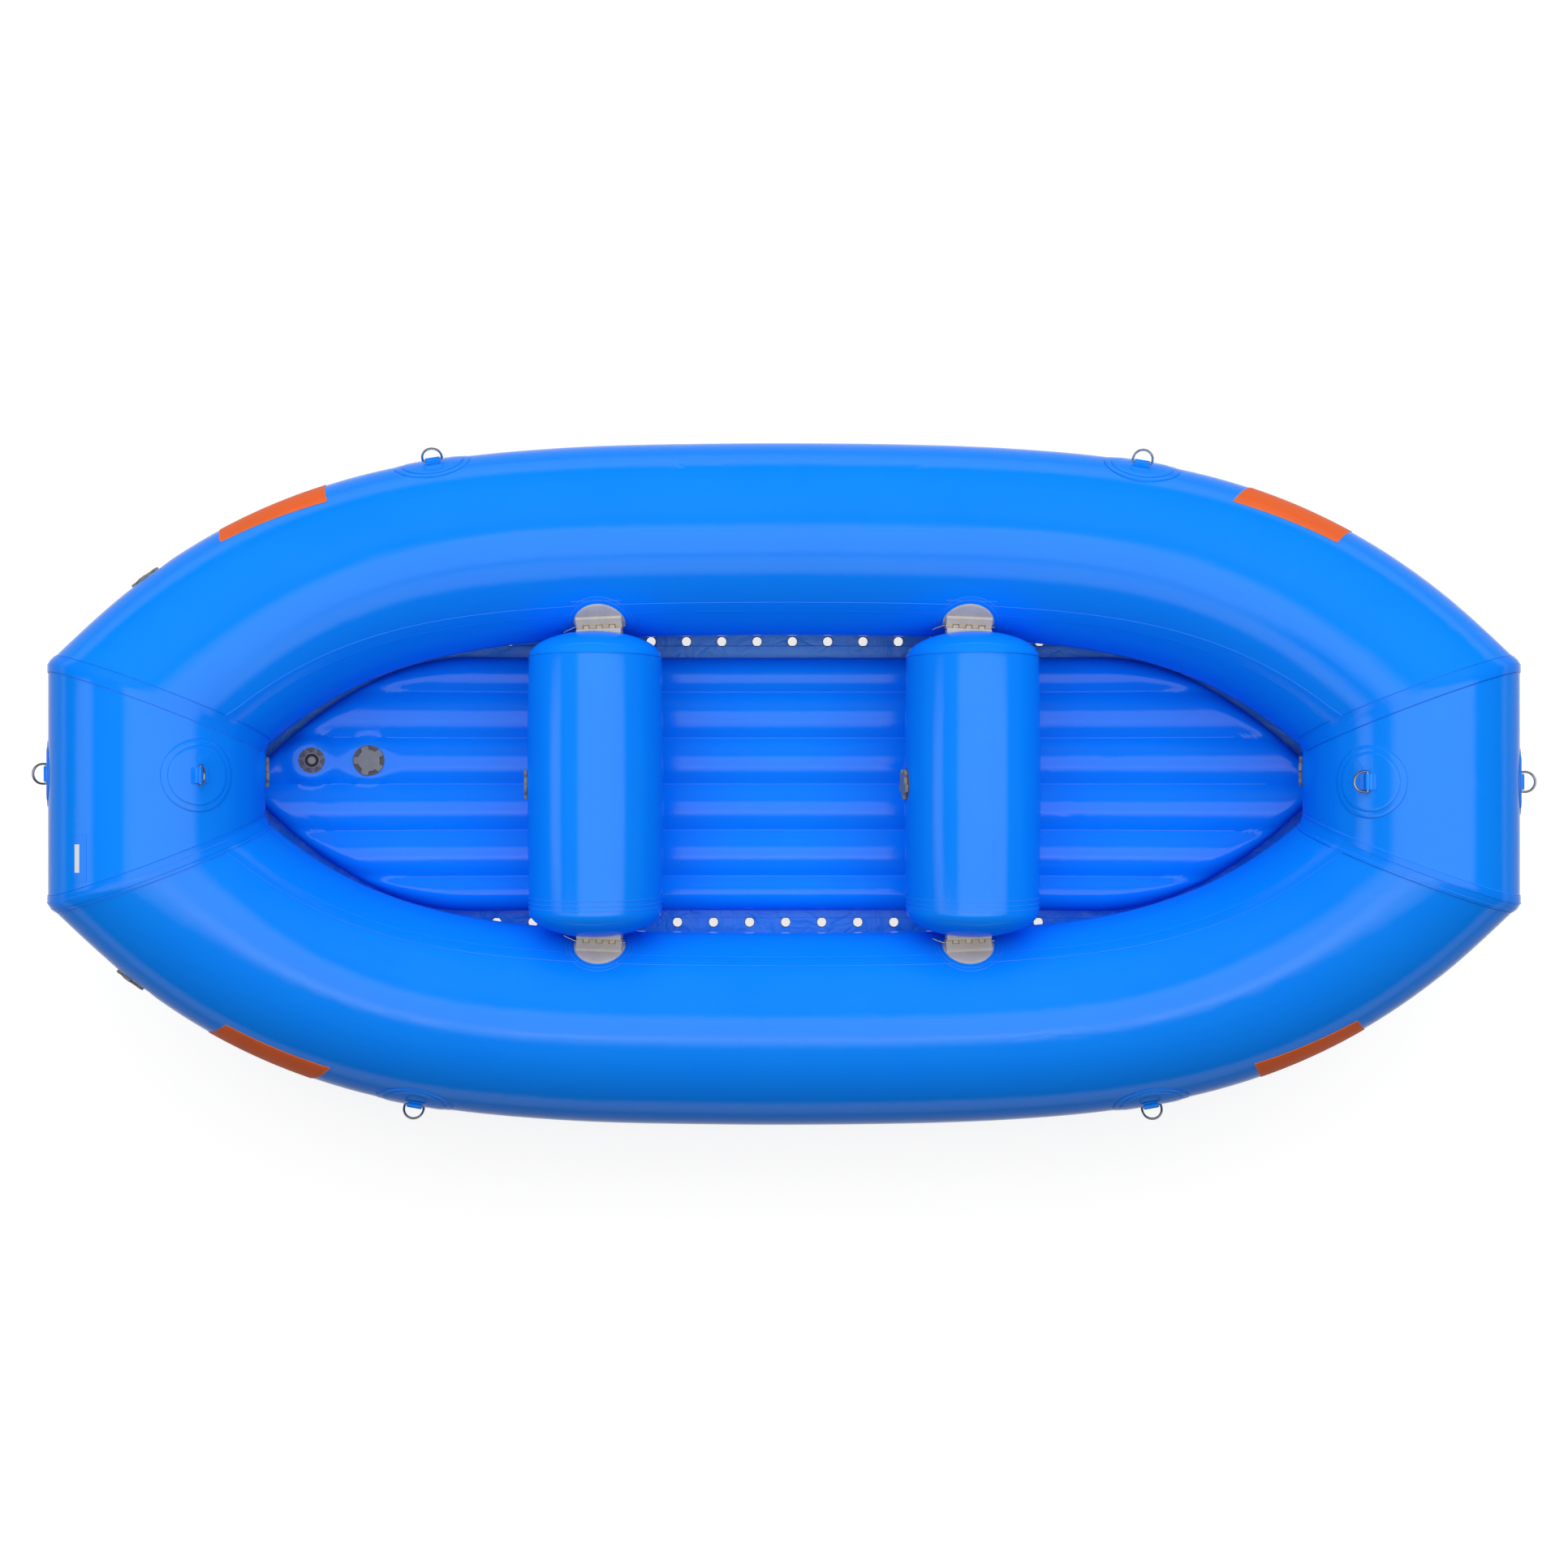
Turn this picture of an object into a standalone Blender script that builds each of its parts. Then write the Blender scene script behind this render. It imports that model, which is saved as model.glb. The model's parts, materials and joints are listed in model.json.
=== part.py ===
# Whitewater raft: a self-bailing inflatable hull with two thwarts.
# The bow points along +X and port is +Y. Z is up and the ground is z = 0.
# Everything is in metres. The hull is four air chambers: two curved side
# tubes and two straight end tubes, mitred and closed off by bulkheads.

import math

import bmesh
import bpy
from mathutils import Matrix, Vector
from mathutils.bvhtree import BVHTree

# Clearance between pieces that touch
GAP = 0.0003

# Hull tubes
TUBE_RADIUS = 0.240
TUBE_SIDES = 24
SIDE_SPREAD = 0.622
END_SPREAD = 0.1875
END_REACH = 1.5005
SIDE_BOW = 0.057
SIDE_POWER = 4.5
KICK_START = 0.54
END_KICK = 0.235
KICK_POWER = 2.0
LAST_RING_SETBACK = 0.080
KICKED_RINGS = 7

# Bulkhead seams between the chambers
BULKHEAD_THICKNESS = 0.0024
TAPE_THICKNESS = 0.0015
TAPE_CLEARANCE = 0.0006
TAPE_HALF_WIDTH = 0.022

# Inflated floor and its drain flange
FLOOR_HALF_WIDTH = 0.3354
FLOOR_THICKNESS = 0.110
FLOOR_MID_HEIGHT = 0.075
FLOOR_KICK = 0.215
FLOOR_TIP_INSET = 0.118
FLOOR_TAPER_LENGTH = 0.5625
BEAM_SPACING = 0.121
FLOOR_CHAMBERS = 6
CREASE_DEPTH = 0.018
TOP_SPLITS = 3
BOTTOM_SPLITS = 2
RIM_SHARE = 0.72
RIM_ANGLES = (30.0, 62.0)
TAPER_SECTIONS = 6
FLANGE_THICKNESS = 0.004
FLANGE_ANGLE_MID = 131.0
FLANGE_ANGLE_END = 150.0
FLANGE_OVERLAP = 0.018
FLANGE_INSET = 0.190
FLANGE_CLEARANCE = 0.0006
DRAIN_DIAMETER = 0.026
DRAIN_PITCH = 0.0953
DRAIN_COUNT = 16
DRAIN_SHIFTS = (-0.0252, -0.0445)
DRAIN_INSET = 0.0391
DRAIN_SEGMENTS = 8

# Thwarts
THWART_X = 0.466
THWART_RADIUS = 0.1675
THWART_BARREL = 0.004
THWART_SEGMENTS = 24
DOME_STEPS = 4
THWART_SEAM = 0.310

# Thwart hinges, set on the inner side of the side tubes
HINGE_ANGLE = 61.5
PLATE_RADIUS = 0.065
PLATE_THICKNESS = 0.0035
PIN_RADIUS = 0.0025
PIN_SIDES = 8
PIN_STANDOFF = 0.0135
KNUCKLE_RADIUS = 0.0080
KNUCKLE_LENGTH = 0.0161
KNUCKLE_COUNT = 7
BLOCK_RISE = 0.027
BLOCK_EDGE = 0.0095
BLOCK_BASE = 0.0015
WINDOW_CLEARANCE = 0.0009
KNUCKLE_GAP = 0.0004
LEAF_GAP = 0.0005
BORE_CLEARANCE = 0.0003
LEAF_THICKNESS = 0.004
LEAF_HALF_HEIGHT = 0.026
WEB_HALF_HEIGHT = 0.0056
PIN_STUB = 0.008
PIN_TAIL = 0.026

# Webbed patches and their D-rings
PAD_CLEARANCE = 0.0010
PAD_SEGMENTS = 14
PAD_PITCH = 0.033
RING_WIRE_RADIUS = 0.0030
RING_HALF_WIDTH = 0.0235
RING_THROAT = 0.0080
PATCH_RADIUS = 0.088
PATCH_THICKNESS = 0.0025
LOOP_WIDTH = 0.030
LOOP_THICKNESS = 0.0022
LOOP_FOOT = 0.015
LOOP_SUNK = 0.0018

# Inflation valves
VALVE_FLANGE_RADIUS = 0.0395
VALVE_FLANGE_THICKNESS = 0.008
VALVE_SUNK = 0.007
VALVE_BARREL_RADIUS = 0.026
VALVE_BARREL_DEPTH = 0.032
VALVE_BORE = 0.019
VALVE_SEGMENTS = 14
VALVE_SEAT_BORE = 0.012
VALVE_SEAT_TOP = 0.012
VALVE_SEAT_THICKNESS = 0.003
POPPET_RADIUS = 0.0165
POPPET_THICKNESS = 0.0037
PLUNGER_SEGMENTS = 8
STEM_RADIUS = 0.004
BUTTON_RADIUS = 0.009
BUTTON_THICKNESS = 0.003
BUTTON_RECESS = 0.002
CAP_RADIUS = 0.0385
CAP_NOTCH = 0.0095
CAP_LOBES = 5
CAP_SEGMENTS = 15
CAP_HEIGHT = 0.0075
CAP_CROWN = 0.0015
CAP_CAVITY = 0.0035
CAP_SPIGOT_LENGTH = 0.007
CAP_SPIGOT_WALL = 0.0025
CAP_SPIGOT_CLEARANCE = 0.0008
RECESS_SLACK = 0.0015

# Pressure relief valve in the floor
RELIEF_RADIUS = 0.032
RELIEF_NOTCH = 0.0055
RELIEF_LOBES = 7
RELIEF_SEGMENTS = 14
RELIEF_COLLAR_HEIGHT = 0.012
RELIEF_COLLAR_WALL = 0.002
RELIEF_BARREL_RADIUS = 0.021
RELIEF_BARREL_DEPTH = 0.026
RELIEF_SEAT_RADIUS = 0.0175
RELIEF_SEAT_DEPTH = 0.003
RELIEF_BORE = 0.010
RELIEF_DISC_RADIUS = 0.0165
RELIEF_DISC_THICKNESS = 0.0042
RELIEF_STEM_RADIUS = 0.0092
RELIEF_STEM_DEPTH = 0.020

# Where the fittings sit, as stations along X and angles from a tube's top
# A ring's third value is the angle from the vertical at which it points
SIDE_RINGS = {
    "port_stern": (-0.841, 63.0, 45.0),
    "port_bow": (0.856, 60.0, 57.0),
    "starboard_stern": (-0.880, 64.0, 60.0),
    "starboard_bow": (0.875, 64.0, 62.0),
}
END_RINGS = {
    "stern_outer": (0.024, 77.0, 90.0),
    "bow_outer": (0.005, 77.0, 88.0),
    "stern_top": (0.020, -42.0, -36.0),
    "bow_top": (0.005, -42.0, -85.0),
}
# A side valve's first value is how far its station is from the hull's reach
SIDE_VALVES = {
    "port_valve": (0.1155, 75.0),
    "starboard_valve": (0.0905, 75.0),
}
END_VALVES = {
    "bow_valve": (0.030, -105.0),
    "stern_valve": (0.030, -105.0),
}
FLOOR_VALVE_INSET = 0.3105
RELIEF_VALVE_INSET = 0.1745
THWART_VALVE_TILT = 4.0

# Material: colour, roughness, metallic
MATERIALS = {
    "hull_fabric": ((0.010, 0.235, 1.0), 0.35, 0.0),
    "seam_tape": ((0.010, 0.215, 0.93), 0.35, 0.0),
    "hinge_plastic": ((0.58, 0.54, 0.47), 0.55, 0.0),
    "valve_plastic": ((0.16, 0.17, 0.18), 0.50, 0.0),
    "valve_inner": ((0.05, 0.05, 0.055), 0.55, 0.0),
    "relief_rubber": ((0.012, 0.012, 0.014), 0.60, 0.0),
    "stainless": ((0.62, 0.62, 0.62), 0.25, 1.0),
}

COLLECTION_NAME = "whitewater_raft"
END_Z = TUBE_RADIUS + END_KICK
FACET_HALF_ANGLE = math.pi / TUBE_SIDES
VERTEX_RADIUS = TUBE_RADIUS / math.cos(FACET_HALF_ANGLE)
LAST_RING_X = END_REACH - LAST_RING_SETBACK


# Scene set-up

def clear_scene():
    for old in list(bpy.data.objects):
        bpy.data.objects.remove(old, do_unlink=True)


def new_collection(name):
    group = bpy.data.collections.new(name)
    bpy.context.scene.collection.children.link(group)
    return group


def material(name):
    made = bpy.data.materials.get(name)
    if made:
        return made
    colour, roughness, metallic = MATERIALS[name]
    made = bpy.data.materials.new(name)
    made.use_nodes = True
    shader = made.node_tree.nodes["Principled BSDF"]
    shader.inputs["Base Color"].default_value = (*colour, 1.0)
    shader.inputs["Roughness"].default_value = roughness
    shader.inputs["Metallic"].default_value = metallic
    made.diffuse_color = (*colour, 1.0)
    return made


# Mesh helpers

def loft(rings, start_pole=None, end_pole=None, closed=False):
    """Join rings of equally many points; the ends get a pole or a flat cap."""
    bm = bmesh.new()
    loops = [[bm.verts.new(p) for p in ring] for ring in rings]
    count = len(loops[0])
    pairs = list(zip(loops, loops[1:]))
    if closed:
        pairs.append((loops[-1], loops[0]))
    for a, b in pairs:
        for i in range(count):
            j = (i + 1) % count
            bm.faces.new((a[i], a[j], b[j], b[i]))
    if not closed:
        for loop, pole, first in ((loops[0], start_pole, True), (loops[-1], end_pole, False)):
            if pole is None:
                bm.faces.new(list(reversed(loop)) if first else loop)
                continue
            tip = bm.verts.new(pole)
            for i in range(count):
                j = (i + 1) % count
                bm.faces.new((tip, loop[j], loop[i]) if first else (tip, loop[i], loop[j]))
    bmesh.ops.recalc_face_normals(bm, faces=bm.faces)
    return finish_mesh(bm)


def finish_mesh(bm, smooth_angle=40.0):
    mesh = bpy.data.meshes.new("mesh")
    bm.to_mesh(mesh)
    bm.free()
    mesh.shade_smooth()
    mesh.set_sharp_from_angle(angle=math.radians(smooth_angle))
    return mesh


def mirrored(mesh, axis):
    """A copy of a mesh, mirrored across the plane square to the axis."""
    bm = bmesh.new()
    bm.from_mesh(mesh)
    scale = Vector((1, 1, 1))
    scale[axis] = -1
    bmesh.ops.scale(bm, vec=scale, verts=bm.verts)
    bmesh.ops.reverse_faces(bm, faces=bm.faces)
    return finish_mesh(bm)


def add(name, mesh, finish, group, matrix=None):
    mesh.name = name
    mesh.materials.clear()
    mesh.materials.append(material(finish))
    made = bpy.data.objects.new(name, mesh)
    if matrix is not None:
        made.matrix_world = matrix
    group.objects.link(made)
    return made


def evaluated_mesh(source):
    """The mesh that an object shows, with its modifiers applied."""
    bpy.context.view_layer.update()
    graph = bpy.context.evaluated_depsgraph_get()
    return bpy.data.meshes.new_from_object(source.evaluated_get(graph))


def turned(profile, segments, closed=False):
    """A solid of revolution about Z from (radius, height) points, top to bottom."""
    mesh = bpy.data.meshes.new("profile")
    count = len(profile)
    edges = [(i, i + 1) for i in range(count - 1)]
    if closed:
        edges.append((count - 1, 0))
    mesh.from_pydata([(r, 0.0, z) for r, z in profile], edges, [])
    holder = bpy.data.objects.new("profile", mesh)
    bpy.context.scene.collection.objects.link(holder)
    screw = holder.modifiers.new("turn", "SCREW")
    screw.axis = "Z"
    screw.angle = math.tau
    screw.steps = segments
    screw.render_steps = segments
    screw.use_merge_vertices = True
    screw.merge_threshold = 0.00001
    solid = evaluated_mesh(holder)
    bpy.data.objects.remove(holder, do_unlink=True)
    bm = bmesh.new()
    bm.from_mesh(solid)
    bmesh.ops.remove_doubles(bm, verts=bm.verts, dist=0.00001)
    bmesh.ops.recalc_face_normals(bm, faces=bm.faces)
    return finish_mesh(bm)


def flat_outline(outline, half_depth, holes=()):
    """A flat outline in XY, extruded along Z both ways, with its holes."""
    curve = bpy.data.curves.new("outline", "CURVE")
    curve.dimensions = "2D"
    curve.fill_mode = "BOTH"
    curve.extrude = half_depth
    for points in (outline, *holes):
        spline = curve.splines.new("POLY")
        spline.points.add(len(points) - 1)
        for point, (u, v) in zip(spline.points, points):
            point.co = (u, v, 0.0, 1.0)
        spline.use_cyclic_u = True
    return curve_mesh(curve)


def curve_mesh(curve):
    """The welded mesh of a curve, whose caps are loose until then."""
    holder = bpy.data.objects.new("curve", curve)
    bpy.context.scene.collection.objects.link(holder)
    solid = evaluated_mesh(holder)
    bpy.data.objects.remove(holder, do_unlink=True)
    bm = bmesh.new()
    bm.from_mesh(solid)
    bmesh.ops.remove_doubles(bm, verts=bm.verts, dist=0.00001)
    bmesh.ops.recalc_face_normals(bm, faces=bm.faces)
    return finish_mesh(bm)


def wire(points, radius, sides, cyclic=False, shrink=None):
    """A round wire along its points; shrink scales its radius point by point."""
    curve = bpy.data.curves.new("wire", "CURVE")
    curve.dimensions = "3D"
    curve.bevel_depth = radius
    curve.bevel_resolution = sides // 2 - 2
    curve.use_fill_caps = not cyclic
    spline = curve.splines.new("POLY")
    spline.points.add(len(points) - 1)
    for i, (point, place) in enumerate(zip(spline.points, points)):
        point.co = (*place, 1.0)
        point.radius = shrink[i] if shrink else 1.0
    spline.use_cyclic_u = cyclic
    return curve_mesh(curve)


def box_mesh(low, high):
    bm = bmesh.new()
    bmesh.ops.create_cube(bm, size=1.0)
    centre = [(a + b) / 2 for a, b in zip(low, high)]
    size = [b - a for a, b in zip(low, high)]
    bmesh.ops.scale(bm, vec=size, verts=bm.verts)
    bmesh.ops.translate(bm, vec=centre, verts=bm.verts)
    return finish_mesh(bm)


def rod_mesh(radius, start, end, segments):
    """A capped cylinder from one point to another."""
    bm = bmesh.new()
    axis = Vector(end) - Vector(start)
    bmesh.ops.create_cone(bm, cap_ends=True, segments=segments, radius1=radius,
                          radius2=radius, depth=axis.length)
    turn = axis.to_track_quat("Z", "Y").to_matrix().to_4x4()
    middle = Matrix.Translation((Vector(start) + Vector(end)) / 2)
    bmesh.ops.transform(bm, matrix=middle @ turn, verts=bm.verts)
    return finish_mesh(bm)


def moved(mesh, matrix):
    copy = mesh.copy()
    copy.transform(matrix)
    if matrix.determinant() < 0:
        copy.flip_normals()
    return copy


def joined(meshes):
    """Several meshes as one, for a cutter made of separate solids."""
    bm = bmesh.new()
    for mesh in meshes:
        bm.from_mesh(mesh)
    return finish_mesh(bm)


def combined(mesh, other, operation):
    """The mesh with another united to it or cut from it."""
    base = bpy.data.objects.new("base", mesh)
    tool = bpy.data.objects.new("tool", other)
    for holder in (base, tool):
        bpy.context.scene.collection.objects.link(holder)
    cut = base.modifiers.new("cut", "BOOLEAN")
    cut.solver = "EXACT"
    cut.operation = operation
    cut.object = tool
    solid = evaluated_mesh(base)
    for holder in (base, tool):
        bpy.data.objects.remove(holder, do_unlink=True)
    bm = bmesh.new()
    bm.from_mesh(solid)
    bmesh.ops.remove_doubles(bm, verts=bm.verts, dist=0.000002)
    bmesh.ops.dissolve_degenerate(bm, edges=bm.edges, dist=0.000002)
    return finish_mesh(bm)


# Hull centrelines

def kick(x, rise):
    reach = max(0.0, abs(x) - KICK_START) / (END_REACH - KICK_START)
    return rise * reach ** KICK_POWER


def side_centre(x):
    """The port tube's centreline, as a curve over the station x."""
    share = abs(x) / END_REACH
    drawn_in = SIDE_SPREAD - END_SPREAD - SIDE_BOW
    y = SIDE_SPREAD - SIDE_BOW * share ** 2 - drawn_in * share ** SIDE_POWER
    return Vector((x, y, TUBE_RADIUS + kick(x, END_KICK)))


def side_tangent(x):
    step = 0.0005
    return (side_centre(x + step) - side_centre(x - step)).normalized()


def corner_tangent():
    step = 0.001
    return (side_centre(END_REACH) - side_centre(END_REACH - step)).normalized()


def section_axes(tangent):
    """The up and outboard directions of a port tube section."""
    up = (Vector((0, 0, 1)) - tangent * tangent.z).normalized()
    return up, up.cross(tangent)


def around(up, out, angle):
    """The direction at an angle from the top, outboard counted positive."""
    return up * math.cos(angle) + out * math.sin(angle)


def ring(centre, up, out, radius):
    steps = [(k + 0.5) * math.tau / TUBE_SIDES for k in range(TUBE_SIDES)]
    return [centre + around(up, out, angle) * radius for angle in steps]


CORNER = Vector((END_REACH, END_SPREAD, END_Z))
ATHWART = Vector((0, -1, 0))


def mitre_normal():
    return (corner_tangent() + ATHWART).normalized()


def end_axes():
    """The end tube's section axes: the side tube's, mirrored in the mitre."""
    normal = mitre_normal()
    up, out = section_axes(corner_tangent())
    return [(d - normal * 2 * d.dot(normal)).normalized() for d in (up, out)]


def mitre_ring(tangent, up, out, radius):
    """The section where a tube of this radius meets the mitre plane."""
    normal = mitre_normal()
    points = []
    for spoke in ring(Vector(), up, out, radius):
        travel = -spoke.dot(normal) / tangent.dot(normal)
        points.append(CORNER + spoke + tangent * travel)
    return points


def side_mitre(radius):
    tangent = corner_tangent()
    return mitre_ring(tangent, *section_axes(tangent), radius)


def end_mitre(radius):
    return mitre_ring(ATHWART, *end_axes(), radius)


def side_end_lines():
    """The lines of the side tube's surface, from the mitre back to its last section."""
    ends = zip(side_mitre(VERTEX_RADIUS), side_section(LAST_RING_X))
    return [(back - front).normalized() for front, back in ends]


def drawn_back(points, lines, distance):
    """Points moved off along their lines to a distance from the mitre plane."""
    normal = mitre_normal()
    return [p + d * (distance / abs(d.dot(normal))) for p, d in zip(points, lines)]


def flange_reach():
    return END_REACH - FLANGE_INSET


def side_stations():
    """Sections of a side tube, with one where the drain flange ends."""
    hinge_edge = THWART_X - PLATE_RADIUS
    half = [hinge_edge, THWART_X, KICK_START]
    for k in range(1, KICKED_RINGS + 1):
        half.append(KICK_START + (flange_reach() - KICK_START) * k / KICKED_RINGS)
    half.append(LAST_RING_X)
    return [-x for x in reversed(half)] + [0.0] + half


def side_section(x, radius=VERTEX_RADIUS):
    up, out = section_axes(side_tangent(x))
    return ring(side_centre(x), up, out, radius)


def side_tube_mesh():
    """The port tube: sections along the centreline, cut off at both mitres."""
    back_off = BULKHEAD_THICKNESS / 2 + GAP
    bow_end = drawn_back(side_mitre(VERTEX_RADIUS), side_end_lines(), back_off)
    stern_end = [Vector((-p.x, p.y, p.z)) for p in bow_end]
    sections = [side_section(x) for x in side_stations()]
    return loft([stern_end, *sections, bow_end])


def end_tube_mesh():
    """The bow tube: straight and level, mitred at both ends."""
    back_off = BULKHEAD_THICKNESS / 2 + GAP
    lines = [ATHWART] * TUBE_SIDES
    port_end = drawn_back(end_mitre(VERTEX_RADIUS), lines, back_off)
    starboard_end = [Vector((p.x, -p.y, p.z)) for p in port_end]
    return loft([port_end, starboard_end])


def bulkhead_mesh():
    """The baffle between two chambers, in one with the tape over their seam."""
    inner = VERTEX_RADIUS + TAPE_CLEARANCE
    outer = inner + TAPE_THICKNESS
    half = BULKHEAD_THICKNESS / 2
    side_lines = side_end_lines()
    end_lines = [ATHWART] * TUBE_SIDES
    rings = [
        drawn_back(side_mitre(inner), side_lines, half),
        [p + d * TAPE_HALF_WIDTH for p, d in zip(side_mitre(inner), side_lines)],
        [p + d * TAPE_HALF_WIDTH for p, d in zip(side_mitre(outer), side_lines)],
        side_mitre(outer),
        [p + d * TAPE_HALF_WIDTH for p, d in zip(end_mitre(outer), end_lines)],
        [p + d * TAPE_HALF_WIDTH for p, d in zip(end_mitre(inner), end_lines)],
        drawn_back(end_mitre(inner), end_lines, half),
    ]
    return loft(rings)


# Places on the hull

def side_spot(x, angle, height=0.0):
    """A point on the port tube and its axes: along, round and outward."""
    tangent = side_tangent(x)
    up, out = section_axes(tangent)
    outward = around(up, out, math.radians(angle))
    place = side_centre(x) + outward * (VERTEX_RADIUS + height)
    return place, tangent, outward


def end_spot(y, angle, height=0.0):
    """The same on the bow tube, whose sections stand upright here."""
    outward = around(Vector((0, 0, 1)), Vector((1, 0, 0)), math.radians(angle))
    place = Vector((END_REACH, y, END_Z)) + outward * (VERTEX_RADIUS + height)
    return place, ATHWART.copy(), outward


def axes_matrix(place, along, outward):
    """A frame with X along, Z outward and Y square to both."""
    across = outward.cross(along).normalized()
    turn = Matrix((along, across, outward)).transposed().to_4x4()
    return Matrix.Translation(place) @ turn


def pad_mesh(spot, centre, angle, radius, thickness):
    """A round pad of even thickness that follows the tube it lies on."""
    low = PAD_CLEARANCE
    high = low + thickness
    count = math.ceil(radius / PAD_PITCH)
    shares = [(k + 1) / count for k in range(count)]
    layers = [(share, high) for share in shares]
    layers += [(share, low) for share in reversed(shares)]
    rows = []
    for share, height in layers:
        row = []
        for k in range(PAD_SEGMENTS):
            turn = k * math.tau / PAD_SEGMENTS
            along = radius * share * math.cos(turn)
            round_angle = math.degrees(radius * share * math.sin(turn) / TUBE_RADIUS)
            row.append(spot(centre + along, angle + round_angle, height)[0])
        rows.append(row)
    top = spot(centre, angle, high)[0]
    bottom = spot(centre, angle, low)[0]
    return loft(rows, start_pole=top, end_pole=bottom)


def seat_on(mesh, start, direction, along):
    """The frame where a line from inside a solid leaves its surface."""
    bm = bmesh.new()
    bm.from_mesh(mesh)
    tree = BVHTree.FromBMesh(bm)
    hit, normal, _, _ = tree.ray_cast(start, direction)
    bm.free()
    if normal.dot(direction) < 0:
        normal = -normal
    lined_up = (along - normal * along.dot(normal)).normalized()
    return axes_matrix(hit, lined_up, normal)


# Sections extruded along X instead of Z
ALONG_X = Matrix(((0, 0, 1, 0), (1, 0, 0, 0), (0, 1, 0, 0), (0, 0, 0, 1)))


def arc(centre, radius, start, end, count):
    """Points on an arc, with its angles in degrees."""
    angles = [math.radians(start + (end - start) * k / count) for k in range(count + 1)]
    return [(centre[0] + radius * math.cos(a), centre[1] + radius * math.sin(a)) for a in angles]


# Floor

def floor_tip():
    return END_REACH - FLOOR_TIP_INSET


def taper_start():
    return floor_tip() - FLOOR_TAPER_LENGTH


def floor_half_width(x):
    share = max(0.0, abs(x) - taper_start()) / FLOOR_TAPER_LENGTH
    return FLOOR_HALF_WIDTH * (1 - share ** 2)


def floor_middle(x):
    return FLOOR_MID_HEIGHT + kick(x, FLOOR_KICK)


def floor_half_height(x, y):
    """Half the floor's thickness: round at the rim, creased at each beam."""
    half = FLOOR_THICKNESS / 2
    rim = min(floor_half_width(x) - abs(y), floor_tip() - abs(x))
    rim = max(0.0, min(rim, half))
    rounded = math.sqrt(max(0.0, half ** 2 - (half - rim) ** 2))
    chamber = min(FLOOR_CHAMBERS // 2 - 1, int(abs(y) / BEAM_SPACING))
    inner = chamber * BEAM_SPACING
    outer = inner + BEAM_SPACING
    if outer > FLOOR_HALF_WIDTH - half:
        outer = max(FLOOR_HALF_WIDTH, 2 * abs(y) - inner)
    spread = (2 * abs(y) - inner - outer) / (outer - inner)
    return max(0.0, rounded - CREASE_DEPTH * spread ** 2 * (rounded / half) ** 2)


def floor_row(x, splits):
    """The mesh lines across a section, with so many to a chamber."""
    width = floor_half_width(x)
    edge = max(width - FLOOR_THICKNESS / 2, width * RIM_SHARE)
    flat = FLOOR_HALF_WIDTH - FLOOR_THICKNESS / 2
    pitch = BEAM_SPACING / splits
    lines = [k * pitch for k in range(int(flat / pitch + 0.1))] + [flat]
    row = []
    for k, line in enumerate(lines):
        limit = edge * (RIM_SHARE + (1 - RIM_SHARE) * k / (len(lines) - 1))
        row.append(min(line, limit))
    row += [edge + (width - edge) * math.sin(math.radians(a)) for a in RIM_ANGLES]
    return [-y for y in reversed(row)] + row[1:]


def floor_section(x):
    """A closed section of the floor: over the top and back underneath."""
    width = floor_half_width(x)
    middle = floor_middle(x)
    upper = floor_row(x, TOP_SPLITS)
    lower = reversed(floor_row(x, BOTTOM_SPLITS))
    top = [Vector((x, y, middle + floor_half_height(x, y))) for y in upper]
    bottom = [Vector((x, y, middle - floor_half_height(x, y))) for y in lower]
    port = Vector((x, width, middle))
    starboard = Vector((x, -width, middle))
    return [starboard, *top, port, *bottom]


def floor_stations():
    """Sections along the floor, closer together where it draws in."""
    half = [KICK_START, taper_start()]
    for k in range(1, TAPER_SECTIONS + 1):
        turn = math.radians(90 * k / (TAPER_SECTIONS + 1))
        half.append(taper_start() + FLOOR_TAPER_LENGTH * math.sin(turn))
    return [-x for x in reversed(half)] + [0.0] + half


def bladder_mesh():
    sections = [floor_section(x) for x in floor_stations()]
    tip = floor_tip()
    stern = Vector((-tip, 0.0, floor_middle(tip)))
    bow = Vector((tip, 0.0, floor_middle(tip)))
    return loft(sections, start_pole=stern, end_pole=bow)


def flange_angle(x):
    share = min(1.0, abs(x) / flange_reach())
    return FLANGE_ANGLE_MID + (FLANGE_ANGLE_END - FLANGE_ANGLE_MID) * share ** 3


def flange_mesh():
    """The port strip between the floor's rim and the tube."""
    half_thick = FLANGE_THICKNESS / 2
    thick = Vector((0, 0, half_thick))
    rows = []
    for x in [x for x in side_stations() if abs(x) <= flange_reach()]:
        rim = Vector((x, floor_half_width(x) - FLANGE_OVERLAP, floor_middle(x)))
        slant = abs(math.cos(math.radians(flange_angle(x))))
        edge, _, _ = side_spot(x, -flange_angle(x), half_thick * slant + FLANGE_CLEARANCE)
        rows.append([rim - thick, edge - thick, edge + thick, rim + thick])
    return loft(rows)


def drain_cutters(shift):
    """A row of rods for the port drains, shifted along the hull."""
    rods = []
    y = FLOOR_HALF_WIDTH + DRAIN_INSET
    for k in range(DRAIN_COUNT):
        x = (k - (DRAIN_COUNT - 1) / 2) * DRAIN_PITCH + shift
        start = (x, y, FLOOR_MID_HEIGHT - FLOOR_THICKNESS)
        end = (x, y, FLOOR_MID_HEIGHT + FLOOR_THICKNESS)
        rods.append(rod_mesh(DRAIN_DIAMETER / 2, start, end, DRAIN_SEGMENTS))
    return joined(rods)


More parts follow.
